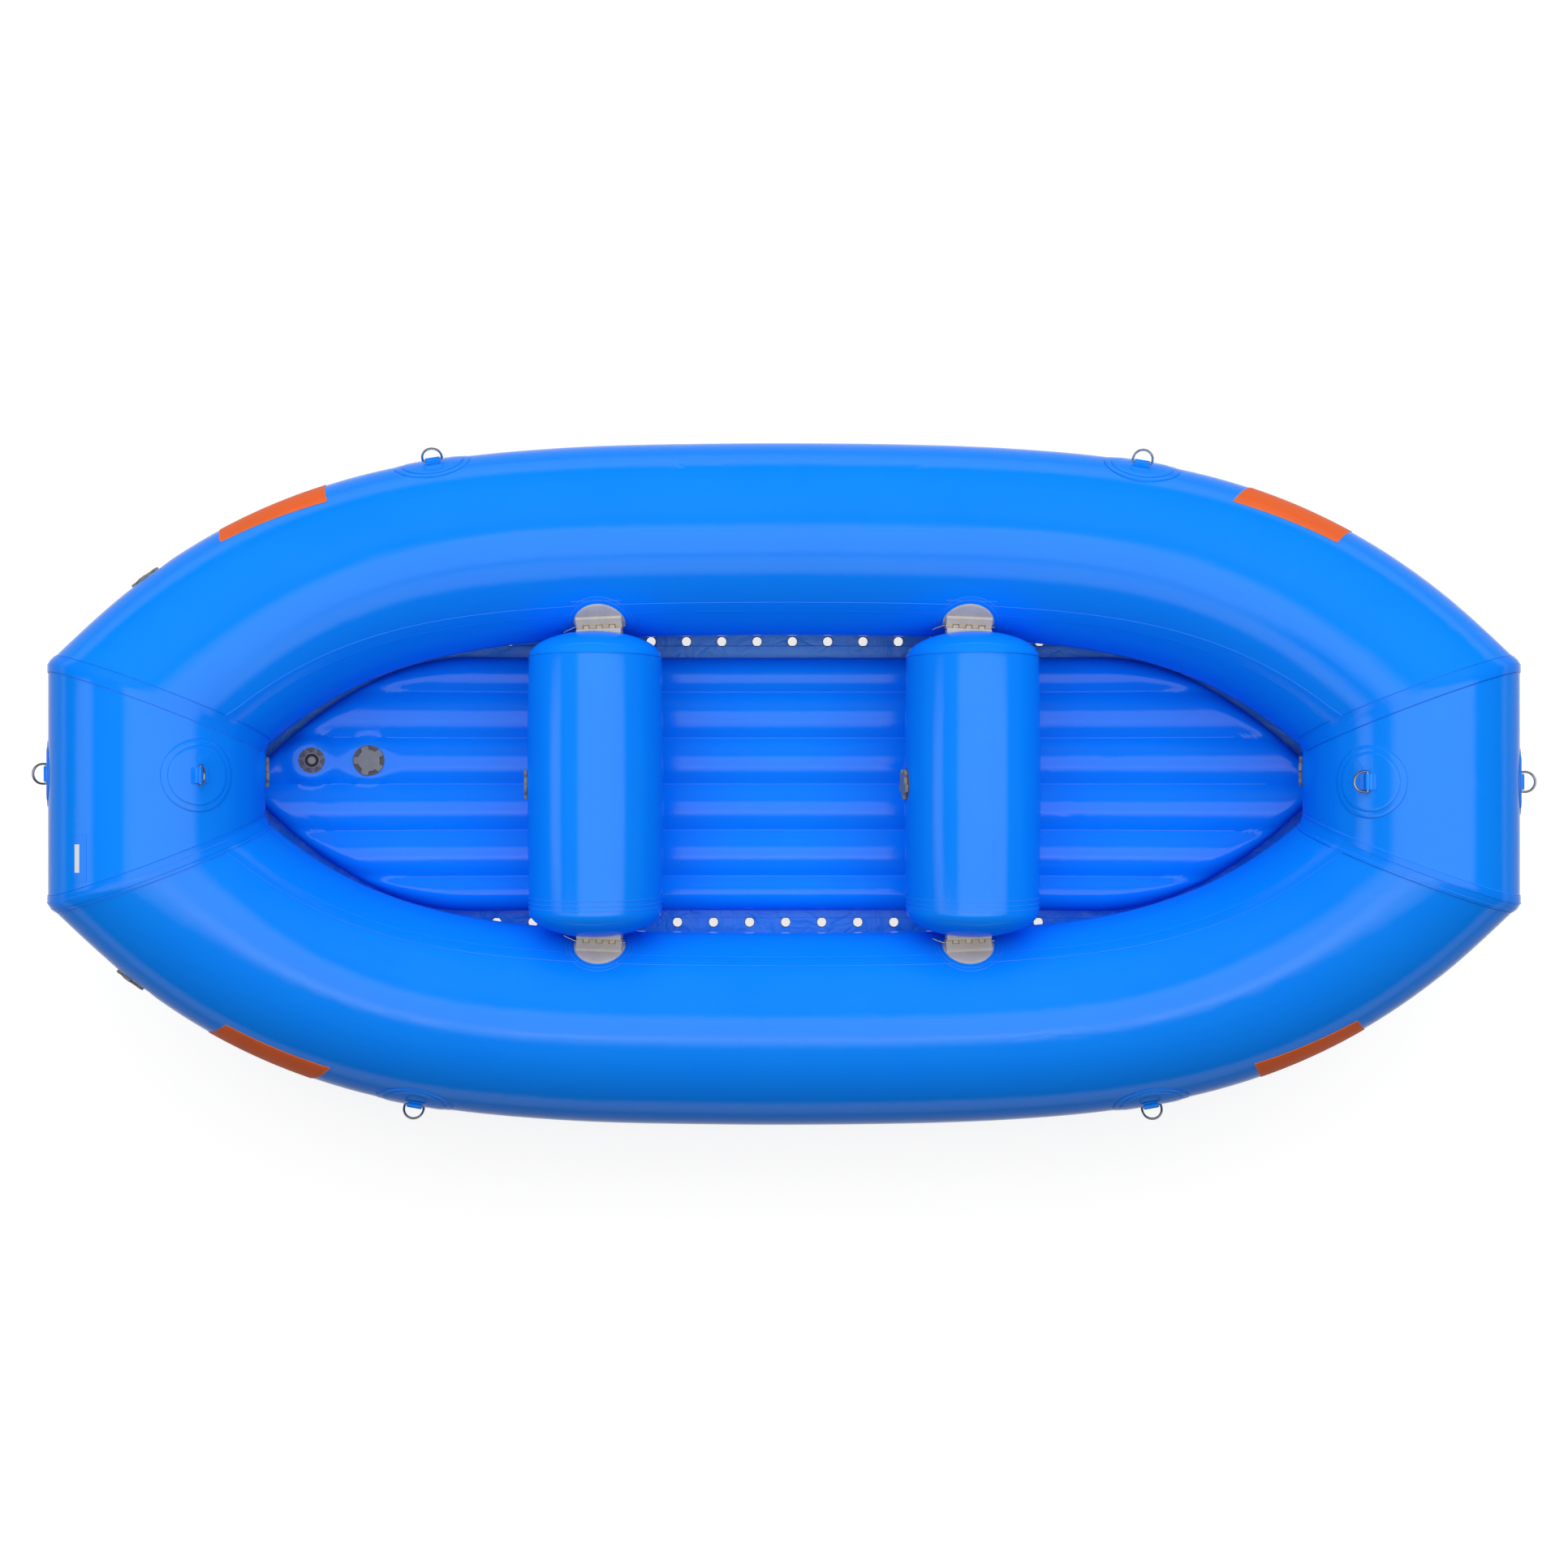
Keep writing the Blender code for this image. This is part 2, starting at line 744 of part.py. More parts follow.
def floor_mesh():
    flange = flange_mesh()
    solid = combined(bladder_mesh(), flange, "UNION")
    solid = combined(solid, mirrored(flange, 1), "UNION")
    port_drains, starboard_drains = [drain_cutters(shift) for shift in DRAIN_SHIFTS]
    solid = combined(solid, port_drains, "DIFFERENCE")
    return combined(solid, mirrored(starboard_drains, 1), "DIFFERENCE")


def floor_seat(mesh, x):
    """The frame on top of the floor, in the middle of a chamber."""
    start = Vector((x, BEAM_SPACING / 2, floor_middle(x)))
    return seat_on(mesh, start, Vector((0, 0, 1)), Vector((1, 0, 0)))


# Hinges and thwarts

def plate_frame():
    """On the port tube's inner side, beside the bow thwart."""
    return axes_matrix(*side_spot(THWART_X, -HINGE_ANGLE))


def pin_frame():
    """On the hinge pin's axis, with Z level and outboard."""
    place = plate_frame() @ Vector((0, 0, PIN_STANDOFF))
    along = side_tangent(THWART_X)
    outboard = Vector((0, 0, 1)).cross(along)
    return axes_matrix(place, along, outboard)


def knuckle_spans(first):
    """The ends along the pin of every other knuckle, from the first."""
    start = -KNUCKLE_LENGTH * KNUCKLE_COUNT / 2
    picked = range(first, KNUCKLE_COUNT, 2)
    return [(start + k * KNUCKLE_LENGTH, start + (k + 1) * KNUCKLE_LENGTH) for k in picked]


def pin_bore():
    reach = KNUCKLE_LENGTH * KNUCKLE_COUNT
    return rod_mesh(PIN_RADIUS + BORE_CLEARANCE, (-reach, 0, 0), (reach, 0, 0), PIN_SIDES)


def hinge_plate_mesh():
    """The tube's half: a round foot, a block and four knuckles."""
    frame = plate_frame()
    foot = pad_mesh(side_spot, THWART_X, -HINGE_ANGLE, PLATE_RADIUS, PLATE_THICKNESS)
    outline = [(-KNUCKLE_RADIUS, BLOCK_BASE), (BLOCK_RISE, BLOCK_BASE), (BLOCK_RISE, BLOCK_EDGE)]
    outline += arc((0.0, PIN_STANDOFF), KNUCKLE_RADIUS, 50, 180, 4)
    block = flat_outline(outline, KNUCKLE_LENGTH * KNUCKLE_COUNT / 2)
    block.transform(ALONG_X)
    floor = PIN_STANDOFF - KNUCKLE_RADIUS - WINDOW_CLEARANCE
    high = PIN_STANDOFF + 2 * KNUCKLE_RADIUS
    wide = KNUCKLE_RADIUS + WINDOW_CLEARANCE
    windows = [box_mesh((a, -2 * wide, floor), (b, wide, high)) for a, b in knuckle_spans(1)]
    bore = moved(pin_bore(), Matrix.Translation((0, 0, PIN_STANDOFF)))
    block = combined(block, joined(windows), "DIFFERENCE")
    block = combined(block, bore, "DIFFERENCE")
    return combined(foot, moved(block, frame), "UNION")


def hinge_leaf_mesh():
    """The thwart's half: a leaf that fits the dome, and three knuckles."""
    half = KNUCKLE_LENGTH * KNUCKLE_COUNT / 2
    face = -(KNUCKLE_RADIUS + LEAF_GAP)
    back = face - 3 * LEAF_THICKNESS
    leaf = box_mesh((-half, -LEAF_HALF_HEIGHT, back), (half, LEAF_HALF_HEIGHT, face))
    root = face - LEAF_THICKNESS / 2
    outline = [(-WEB_HALF_HEIGHT, root), (WEB_HALF_HEIGHT, root)]
    outline += arc((0.0, 0.0), KNUCKLE_RADIUS, -30, 210, 6)
    knuckles = []
    for a, b in knuckle_spans(1):
        knuckle = flat_outline(outline, (b - a) / 2 - KNUCKLE_GAP)
        knuckle.transform(Matrix.Translation(((a + b) / 2, 0, 0)) @ ALONG_X)
        knuckles.append(knuckle)
    leaf = combined(leaf, joined(knuckles), "UNION")
    leaf = combined(leaf, pin_bore(), "DIFFERENCE")
    return combined(moved(leaf, pin_frame()), thwart_mesh(GAP), "DIFFERENCE")


def hinge_pin_mesh():
    """A steel pin with a stub at its bow end and a bent tail at the other."""
    half = KNUCKLE_LENGTH * KNUCKLE_COUNT / 2
    run_out = half + 2.5 * PIN_RADIUS
    points = [
        (half + PIN_STUB, 0, 0),
        (-run_out, 0, 0),
        (-run_out - PIN_RADIUS, 0, -0.4 * PIN_RADIUS),
        (-run_out - 2.2 * PIN_RADIUS, 0, -1.2 * PIN_RADIUS),
        (-run_out - PIN_TAIL, 0, -0.45 * PIN_TAIL),
    ]
    return wire(points, PIN_RADIUS, PIN_SIDES, shrink=(1.0, 1.0, 1.0, 0.8, 0.8))


def thwart_mesh(grow=0.0):
    """The bow thwart: a barrel with domed ends, lying athwart the hull."""
    axle = pin_frame().translation
    apex = axle.y - KNUCKLE_RADIUS - LEAF_GAP - LEAF_THICKNESS
    end_radius = THWART_RADIUS - THWART_BARREL
    dome = []
    for k in range(DOME_STEPS):
        turn = math.radians(90 * k / DOME_STEPS)
        radius = (end_radius + grow) * math.sin(turn)
        dome.append((radius, THWART_SEAM + (apex + grow - THWART_SEAM) * math.cos(turn)))
    half = dome + [
        (end_radius + grow, THWART_SEAM),
        (THWART_RADIUS - THWART_BARREL / 4 + grow, THWART_SEAM / 2),
    ]
    lower = [(r, -y) for r, y in reversed(half)]
    profile = half + [(THWART_RADIUS + grow, 0.0)] + lower
    mesh = turned(profile, THWART_SEGMENTS)
    athwart = Matrix.Rotation(-math.pi / 2, 4, "X")
    mesh.transform(Matrix.Translation((THWART_X, 0.0, axle.z)) @ athwart)
    return mesh


# Rings and patches

def loop_height():
    return RING_WIRE_RADIUS + BORE_CLEARANCE + GAP + LOOP_THICKNESS


def patch_mesh(spot, centre, angle):
    """A round patch with the webbing loop that holds a ring's bar."""
    foot = pad_mesh(spot, centre, angle, PATCH_RADIUS, PATCH_THICKNESS)
    rise = loop_height()
    eye = rise - LOOP_THICKNESS
    outline = [(-LOOP_FOOT, -LOOP_SUNK), (LOOP_FOOT, -LOOP_SUNK), (LOOP_FOOT, LOOP_THICKNESS / 2)]
    outline += arc((0.0, rise), rise, 0, 180, 5)
    outline += [(-LOOP_FOOT, LOOP_THICKNESS / 2)]
    hole = arc((0.0, rise), eye, 0, 320, 8)
    loop = flat_outline(outline, LOOP_WIDTH / 2, [hole])
    loop.transform(ALONG_X)
    top = axes_matrix(*spot(centre, angle, PAD_CLEARANCE + PATCH_THICKNESS))
    return combined(foot, moved(loop, top), "UNION")


def ring_mesh():
    """A D-ring: a straight bar along X and a round bow towards Z."""
    corner = RING_WIRE_RADIUS * 0.8
    bow = arc((0.0, RING_THROAT), RING_HALF_WIDTH, 0, 180, 7)
    points = [(RING_HALF_WIDTH, corner), *bow, (-RING_HALF_WIDTH, corner)]
    points += [(-RING_HALF_WIDTH + corner, 0.0), (RING_HALF_WIDTH - corner, 0.0)]
    return wire([(u, 0.0, v) for u, v in points], RING_WIRE_RADIUS, 6, cyclic=True)


def ring_frame(spot, centre, angle, pointing):
    """The ring's frame: X on its bar, Z along its direction at rest."""
    height = PAD_CLEARANCE + PATCH_THICKNESS + loop_height()
    frame = axes_matrix(*spot(centre, angle, height))
    return frame @ Matrix.Rotation(math.radians(angle - pointing), 4, "X")


# Valves

def lobed_ring(radius, z, notch=0.0, lobes=CAP_LOBES, segments=CAP_SEGMENTS):
    """A circle with a notch between its lobes."""
    points = []
    for k in range(segments):
        turn = k * math.tau / segments
        dip = notch if k % (segments // lobes) == 0 else 0.0
        points.append(Vector(((radius - dip) * math.cos(turn), (radius - dip) * math.sin(turn), z)))
    return points


def recess_mesh(flange_radius, barrel_radius, barrel_depth, segments):
    """A cutter for the pocket that a valve body sits in."""
    above = VALVE_FLANGE_RADIUS
    wide = flange_radius + GAP
    narrow = barrel_radius + GAP
    ledge = -VALVE_SUNK - GAP
    floor = -barrel_depth - RECESS_SLACK
    profile = [(0, above), (wide, above), (wide, ledge), (narrow, ledge), (narrow, floor), (0, floor)]
    return turned(profile, segments)


def valve_pocket():
    return recess_mesh(VALVE_FLANGE_RADIUS, VALVE_BARREL_RADIUS, VALVE_BARREL_DEPTH, VALVE_SEGMENTS)


def relief_pocket():
    return recess_mesh(RELIEF_RADIUS, RELIEF_BARREL_RADIUS, RELIEF_BARREL_DEPTH, RELIEF_SEGMENTS)


def valve_body_mesh():
    top = VALVE_FLANGE_THICKNESS - VALVE_SUNK
    seat_low = -VALVE_SEAT_TOP - VALVE_SEAT_THICKNESS
    profile = [
        (VALVE_FLANGE_RADIUS, top), (VALVE_FLANGE_RADIUS, -VALVE_SUNK),
        (VALVE_BARREL_RADIUS, -VALVE_SUNK), (VALVE_BARREL_RADIUS, -VALVE_BARREL_DEPTH),
        (VALVE_BORE, -VALVE_BARREL_DEPTH), (VALVE_BORE, seat_low),
        (VALVE_SEAT_BORE, seat_low), (VALVE_SEAT_BORE, -VALVE_SEAT_TOP),
        (VALVE_BORE, -VALVE_SEAT_TOP), (VALVE_BORE, top),
    ]
    return turned(profile, VALVE_SEGMENTS, closed=True)


def plunger_mesh():
    top = VALVE_FLANGE_THICKNESS - VALVE_SUNK - BUTTON_RECESS
    poppet_top = -VALVE_SEAT_TOP - VALVE_SEAT_THICKNESS - GAP
    profile = [
        (0, top), (BUTTON_RADIUS, top), (BUTTON_RADIUS, top - BUTTON_THICKNESS),
        (STEM_RADIUS, top - BUTTON_THICKNESS), (STEM_RADIUS, poppet_top),
        (POPPET_RADIUS, poppet_top), (POPPET_RADIUS, poppet_top - POPPET_THICKNESS),
        (0, poppet_top - POPPET_THICKNESS),
    ]
    return turned(profile, PLUNGER_SEGMENTS)


def cap_mesh():
    """A lobed cap with a spigot in the valve's bore and room for its button."""
    base = VALVE_FLANGE_THICKNESS - VALVE_SUNK + GAP
    spigot = VALVE_BORE - CAP_SPIGOT_CLEARANCE
    inner = spigot - CAP_SPIGOT_WALL
    low = base - CAP_SPIGOT_LENGTH
    top = base + CAP_HEIGHT
    rings = [
        lobed_ring(inner, base + CAP_CAVITY),
        lobed_ring(inner, low),
        lobed_ring(spigot, low),
        lobed_ring(spigot, base),
        lobed_ring(CAP_RADIUS, base, CAP_NOTCH),
        lobed_ring(CAP_RADIUS, top - CAP_CROWN, CAP_NOTCH),
        lobed_ring(CAP_RADIUS - CAP_NOTCH * 1.2, top),
    ]
    return loft(rings)


def relief_ring(radius, z, notch=0.0):
    return lobed_ring(radius, z, notch, RELIEF_LOBES, RELIEF_SEGMENTS)


def relief_body_mesh():
    """Arms that rise from a lobed rim to the collar round the poppet."""
    rim = VALVE_FLANGE_THICKNESS - VALVE_SUNK
    seat = RELIEF_COLLAR_HEIGHT - RELIEF_SEAT_DEPTH
    collar = RELIEF_SEAT_RADIUS + RELIEF_COLLAR_WALL
    rings = [
        relief_ring(RELIEF_RADIUS, rim, RELIEF_NOTCH),
        relief_ring(RELIEF_RADIUS, -VALVE_SUNK, RELIEF_NOTCH),
        relief_ring(RELIEF_BARREL_RADIUS, -VALVE_SUNK),
        relief_ring(RELIEF_BARREL_RADIUS, -RELIEF_BARREL_DEPTH),
        relief_ring(RELIEF_BORE, -RELIEF_BARREL_DEPTH),
        relief_ring(RELIEF_BORE, seat),
        relief_ring(RELIEF_SEAT_RADIUS, seat),
        relief_ring(RELIEF_SEAT_RADIUS, RELIEF_COLLAR_HEIGHT),
        relief_ring(collar, RELIEF_COLLAR_HEIGHT),
    ]
    return loft(rings, closed=True)


def relief_poppet_mesh():
    low = RELIEF_COLLAR_HEIGHT - RELIEF_SEAT_DEPTH + GAP
    high = low + RELIEF_DISC_THICKNESS
    profile = [
        (0, high), (RELIEF_DISC_RADIUS, high), (RELIEF_DISC_RADIUS, low),
        (RELIEF_STEM_RADIUS, low), (RELIEF_STEM_RADIUS, -RELIEF_STEM_DEPTH),
        (0, -RELIEF_STEM_DEPTH),
    ]
    return turned(profile, VALVE_SEGMENTS)


# Assembly

QUARTERS = ("port_stern", "port_bow", "starboard_stern", "starboard_bow")


def mirror_for(name):
    """The mirror that takes a port and bow shape to where a name says."""
    mirror = Matrix.Identity(4)
    mirror[0][0] = -1 if "stern" in name else 1
    mirror[1][1] = -1 if "starboard" in name else 1
    return mirror


def to_side(name, frame):
    """A port frame, mirrored across the keel for starboard but not reversed."""
    if "starboard" not in name:
        return frame
    mirror = Matrix.Diagonal((1, -1, 1, 1))
    return mirror @ frame @ mirror


def to_end(name, frame):
    """A bow frame, mirrored to the stern but not reversed."""
    if "stern" not in name:
        return frame
    mirror = Matrix.Diagonal((-1, 1, 1, 1))
    return mirror @ frame @ mirror


def add_valve(name, frame, group, with_plunger=True):
    add(name + "_body", valve_body_mesh(), "valve_plastic", group, frame)
    add(name + "_cap", cap_mesh(), "valve_plastic", group, frame)
    if with_plunger:
        add(name + "_plunger", plunger_mesh(), "valve_inner", group, frame)


def recessed(mesh, frame, cutter):
    return combined(mesh, moved(cutter, frame), "DIFFERENCE")


def build_hull(group):
    """The four chambers with their valves, and the seams between them."""
    pocket = valve_pocket()
    tube = side_tube_mesh()
    for name, (inset, angle) in SIDE_VALVES.items():
        x = inset - END_REACH
        _, along, outward = side_spot(x, angle)
        frame = seat_on(tube, side_centre(x), outward, along)
        side = tube.copy()
        side = recessed(side, frame, pocket)
        label = name.replace("_valve", "")
        add(label + "_tube", side if label == "port" else mirrored(side, 1), "hull_fabric", group)
        add_valve(name, to_side(name, frame), group)
    tube = end_tube_mesh()
    for name, (y, angle) in END_VALVES.items():
        _, along, outward = end_spot(y, angle)
        frame = seat_on(tube, Vector((END_REACH, y, END_Z)), outward, along)
        end = recessed(tube.copy(), frame, pocket)
        label = name.replace("_valve", "")
        add(label + "_tube", end if label == "bow" else mirrored(end, 0), "hull_fabric", group)
        add_valve(name, to_end(name, frame), group, with_plunger=False)
    seam = bulkhead_mesh()
    for name in QUARTERS:
        add("bulkhead_seam_" + name, moved(seam, mirror_for(name)), "seam_tape", group)


def build_floor(group):
    solid = floor_mesh()
    inflate = floor_seat(solid, FLOOR_VALVE_INSET - floor_tip())
    relief = floor_seat(solid, RELIEF_VALVE_INSET - floor_tip())
    solid = recessed(solid, inflate, valve_pocket())
    solid = recessed(solid, relief, relief_pocket())
    add("floor", solid, "hull_fabric", group)
    add_valve("floor_valve", inflate, group)
    add("relief_valve_body", relief_body_mesh(), "valve_plastic", group, relief)
    add("relief_valve_poppet", relief_poppet_mesh(), "relief_rubber", group, relief)


def build_thwarts(group):
    pocket = valve_pocket()
    height = pin_frame().translation.z
    tilt = math.radians(THWART_VALVE_TILT)
    sternward = Vector((-math.cos(tilt), 0, math.sin(tilt)))
    for end, x in (("stern", -THWART_X), ("bow", THWART_X)):
        solid = moved(thwart_mesh(), Matrix.Translation((x - THWART_X, 0, 0)))
        frame = seat_on(solid, Vector((x, 0, height)), sternward, Vector((0, 1, 0)))
        solid = recessed(solid, frame, pocket)
        add(end + "_thwart", solid, "hull_fabric", group)
        add_valve(end + "_thwart_valve", frame, group)
    for name in QUARTERS:
        mirror = mirror_for(name)
        add("hinge_plate_" + name, moved(hinge_plate_mesh(), mirror), "hinge_plastic", group)
        add("hinge_leaf_" + name, moved(hinge_leaf_mesh(), mirror), "hinge_plastic", group)
        # Every pin is drawn out towards the stern, so it isn't mirrored end for end
        frame = pin_frame()
        if "stern" in name:
            turn = Matrix.Diagonal((-1, 1, 1, 1))
            frame = turn @ frame @ turn
        frame = to_side(name, frame)
        add("hinge_pin_" + name, hinge_pin_mesh(), "stainless", group, frame)


def build_rings(group):
    for name, (x, angle, pointing) in SIDE_RINGS.items():
        side = Matrix.Diagonal((1, -1, 1, 1)) if "starboard" in name else Matrix.Identity(4)
        add("ring_patch_" + name, moved(patch_mesh(side_spot, x, angle), side), "hull_fabric", group)
        frame = to_side(name, ring_frame(side_spot, x, angle, pointing))
        add("d_ring_" + name, ring_mesh(), "stainless", group, frame)
    for name, (y, angle, pointing) in END_RINGS.items():
        end = Matrix.Diagonal((-1, 1, 1, 1)) if "stern" in name else Matrix.Identity(4)
        add("ring_patch_" + name, moved(patch_mesh(end_spot, y, angle), end), "hull_fabric", group)
        frame = to_end(name, ring_frame(end_spot, y, angle, pointing))
        add("d_ring_" + name, ring_mesh(), "stainless", group, frame)


def build():
    clear_scene()
    group = new_collection(COLLECTION_NAME)
    build_hull(group)
    build_floor(group)
    build_thwarts(group)
    build_rings(group)


build()
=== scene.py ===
# %% [markdown]
# # A whitewater raft, seen from straight above
#
# The raft is an air-filled hull of coated fabric: two side tubes, two short end
# tubes, a floor of sewn chambers and two thwarts. This lesson dresses a packed
# CAD model of it. Every piece here is in metres, in the model's own frame, with
# the bow along +X, port along +Y and the ground at z = 0.

import json
import math

import bmesh
import bpy
import numpy as np
from mathutils import Matrix, Vector, noise


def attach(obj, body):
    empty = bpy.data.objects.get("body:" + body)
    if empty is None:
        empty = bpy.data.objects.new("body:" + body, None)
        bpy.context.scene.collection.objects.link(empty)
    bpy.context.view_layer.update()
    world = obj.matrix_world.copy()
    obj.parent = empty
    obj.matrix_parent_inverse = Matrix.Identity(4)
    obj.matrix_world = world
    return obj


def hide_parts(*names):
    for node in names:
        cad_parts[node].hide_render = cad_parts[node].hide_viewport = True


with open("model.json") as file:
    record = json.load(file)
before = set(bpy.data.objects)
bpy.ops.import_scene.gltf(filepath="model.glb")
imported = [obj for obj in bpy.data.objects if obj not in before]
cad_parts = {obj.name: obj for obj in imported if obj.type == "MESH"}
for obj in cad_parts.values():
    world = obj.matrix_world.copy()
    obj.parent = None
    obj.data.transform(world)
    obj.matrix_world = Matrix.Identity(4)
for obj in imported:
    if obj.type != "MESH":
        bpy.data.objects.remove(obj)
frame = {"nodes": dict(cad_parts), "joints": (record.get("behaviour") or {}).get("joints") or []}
nodes = frame["nodes"]
joints = {joint["name"]: joint for joint in frame["joints"]}
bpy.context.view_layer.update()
print("packed nodes:", len(nodes), "joints:", len(joints))

# %% [markdown]
# ## The camera
#
# The photograph looks straight down, so the camera does too. Its height comes
# from the perspective: the kicked-up ends look larger than the middle. A lens as
# long as the sensor is wide makes the picture as wide as the distance to it.

# %% Put up the camera
CAMERA_HEIGHT = 4.2415
SENSOR_WIDTH = 36.0

camera = bpy.data.cameras.new("overhead")
camera.lens = camera.sensor_width = SENSOR_WIDTH
camera_holder = bpy.data.objects.new("overhead", camera)
camera_holder.location = (0.0, 0.0, CAMERA_HEIGHT)
bpy.context.scene.collection.objects.link(camera_holder)
bpy.context.scene.camera = camera_holder
print("camera height:", CAMERA_HEIGHT)

# %% [markdown]
# ## Effects that several finishes share
#
# Coated raft fabric is nylon cloth under a smooth film. From near you see the
# cloth's threads through the film, from further off soft creases, and a slight
# cloudiness where it has been handled. Each effect is a node group, so every
# finish can use it with its own values.

# %% Helpers for node groups
def new_group(name, sockets_in, sockets_out):
    """An empty shader group with named sockets, and its input and output nodes."""
    group = bpy.data.node_groups.new(name, "ShaderNodeTree")
    for label, value in sockets_in.items():
        socket = group.interface.new_socket(label, in_out="INPUT",
                                            socket_type="NodeSocketFloat")
        socket.default_value = value
    for label in sockets_out:
        group.interface.new_socket(label, in_out="OUTPUT", socket_type="NodeSocketFloat")
    return group, group.nodes.new("NodeGroupInput"), group.nodes.new("NodeGroupOutput")


def maths(tree, operation, *values):
    """A Math node whose inputs are sockets or plain numbers."""
    node = tree.nodes.new("ShaderNodeMath")
    node.operation = operation
    for slot, value in enumerate(values):
        if isinstance(value, (int, float)):
            node.inputs[slot].default_value = value
        else:
            tree.links.new(value, node.inputs[slot])
    return node.outputs[0]


def ranged(tree, value, low, high, to_low=0.0, to_high=1.0):
    """A Map Range node from low..high to to_low..to_high, held at its ends."""
    node = tree.nodes.new("ShaderNodeMapRange")
    tree.links.new(value, node.inputs["Value"])
    for label, number in (("From Min", low), ("From Max", high),
                          ("To Min", to_low), ("To Max", to_high)):
        node.inputs[label].default_value = number
    return node.outputs["Result"]


def cloud_noise(tree, scale, detail):
    """Noise in the object's own metres."""
    node = tree.nodes.new("ShaderNodeTexNoise")
    node.inputs["Detail"].default_value = detail
    if isinstance(scale, (int, float)):
        node.inputs["Scale"].default_value = scale
    else:
        tree.links.new(scale, node.inputs["Scale"])
    place = tree.nodes.new("ShaderNodeTexCoord").outputs["Object"]
    tree.links.new(place, node.inputs["Vector"])
    return node


print("node helpers ready")

# %% Cloth threads under the film
# Two crossed waves on the piece's own UV map, which is measured in metres.
cloth_threads, entry, leave = new_group(
    "cloth_threads", {"Threads per metre": 700.0}, ["Height"])
place = cloth_threads.nodes.new("ShaderNodeTexCoord")
sized = cloth_threads.nodes.new("ShaderNodeVectorMath")
sized.operation = "SCALE"
cloth_threads.links.new(place.outputs["UV"], sized.inputs[0])
cloth_threads.links.new(entry.outputs["Threads per metre"], sized.inputs["Scale"])
parts = cloth_threads.nodes.new("ShaderNodeSeparateXYZ")
cloth_threads.links.new(sized.outputs[0], parts.inputs[0])
warp = maths(cloth_threads, "SINE", maths(cloth_threads, "MULTIPLY", parts.outputs["X"], math.tau))
weft = maths(cloth_threads, "SINE", maths(cloth_threads, "MULTIPLY", parts.outputs["Y"], math.tau))
crossed = maths(cloth_threads, "MULTIPLY", warp, weft)
cloth_threads.links.new(ranged(cloth_threads, crossed, -1.0, 1.0), leave.inputs["Height"])
print("made", cloth_threads.name)

# %% Creases in a film of fabric
# Noise folded about its middle has the narrow valleys of a crease. A second,
# larger noise keeps the creases to some places and leaves the rest tight.
fabric_creases, entry, leave = new_group(
    "fabric_creases", {"Scale": 6.0, "Coverage": 0.5}, ["Height", "Mask"])
bend = cloud_noise(fabric_creases, entry.outputs["Scale"], 3.0)
bend.inputs["Distortion"].default_value = 0.8
folded = maths(fabric_creases, "ABSOLUTE",
               maths(fabric_creases, "SUBTRACT", bend.outputs["Fac"], 0.5))
valley = ranged(fabric_creases, folded, 0.0, 0.12, 1.0, 0.0)
place_noise = cloud_noise(fabric_creases, 2.2, 1.0)
spread = maths(fabric_creases, "ADD", place_noise.outputs["Fac"], entry.outputs["Coverage"])
mask = ranged(fabric_creases, spread, 1.0, 1.2)
depth = maths(fabric_creases, "MULTIPLY", valley, mask)
fabric_creases.links.new(maths(fabric_creases, "SUBTRACT", 1.0, depth), leave.inputs["Height"])
fabric_creases.links.new(mask, leave.inputs["Mask"])
print("made", fabric_creases.name)

# %% Cloudiness from handling
handling_cloud, entry, leave = new_group("handling_cloud", {"Scale": 4.0}, ["Value"])
haze = cloud_noise(handling_cloud, entry.outputs["Scale"], 6.0)
haze.inputs["Roughness"].default_value = 0.62
handling_cloud.links.new(ranged(handling_cloud, haze.outputs["Fac"], 0.3, 0.7),
                         leave.inputs["Value"])
print("made", handling_cloud.name)

# %% [markdown]
# ## The finishes
#
# All the blue pieces are the same coated cloth. They differ only in gloss and
# in how creased they are: the tubes are blown tight, and the drain flange hangs
# loose and wrinkles. The fittings are moulded plastic, rubber and steel.

# %% Coated fabric
# The film's fine wrinkles hide one another when it is seen edge on, so its gloss
# doesn't rise to a mirror there as it does on glass.
FILM_FADES = (0.20, 0.55)
FILM_FACE_ON = 0.5
FILM_EDGE_ON = 0.02
THREAD_DEPTH = 0.00002


def placed(tree, group, **values):
    """A group placed in a material, with its own values."""
    node = tree.nodes.new("ShaderNodeGroup")
    node.node_tree = group
    for label, value in values.items():
        node.inputs[label.replace("_", " ")].default_value = value
    return node


def mixed(tree, share, first, second):
    """Between two plain colours, by a socket's value."""
    node = tree.nodes.new("ShaderNodeMix")
    node.data_type = "RGBA"
    tree.links.new(share, node.inputs["Factor"])
    node.inputs["A"].default_value = (*first, 1.0)
    node.inputs["B"].default_value = (*second, 1.0)
    return node.outputs["Result"]


def bumped(tree, height, distance, below=None):
    """A Bump node whose depth is in metres, on top of another one."""
    node = tree.nodes.new("ShaderNodeBump")
    node.inputs["Distance"].default_value = distance
    tree.links.new(height, node.inputs["Height"])
    if below is not None:
        tree.links.new(below, node.inputs["Normal"])
    return node.outputs["Normal"]


def new_finish(name):
    made = bpy.data.materials.new(name)
    made.use_nodes = True
    tree = made.node_tree
    return made, tree, tree.nodes["Principled BSDF"]


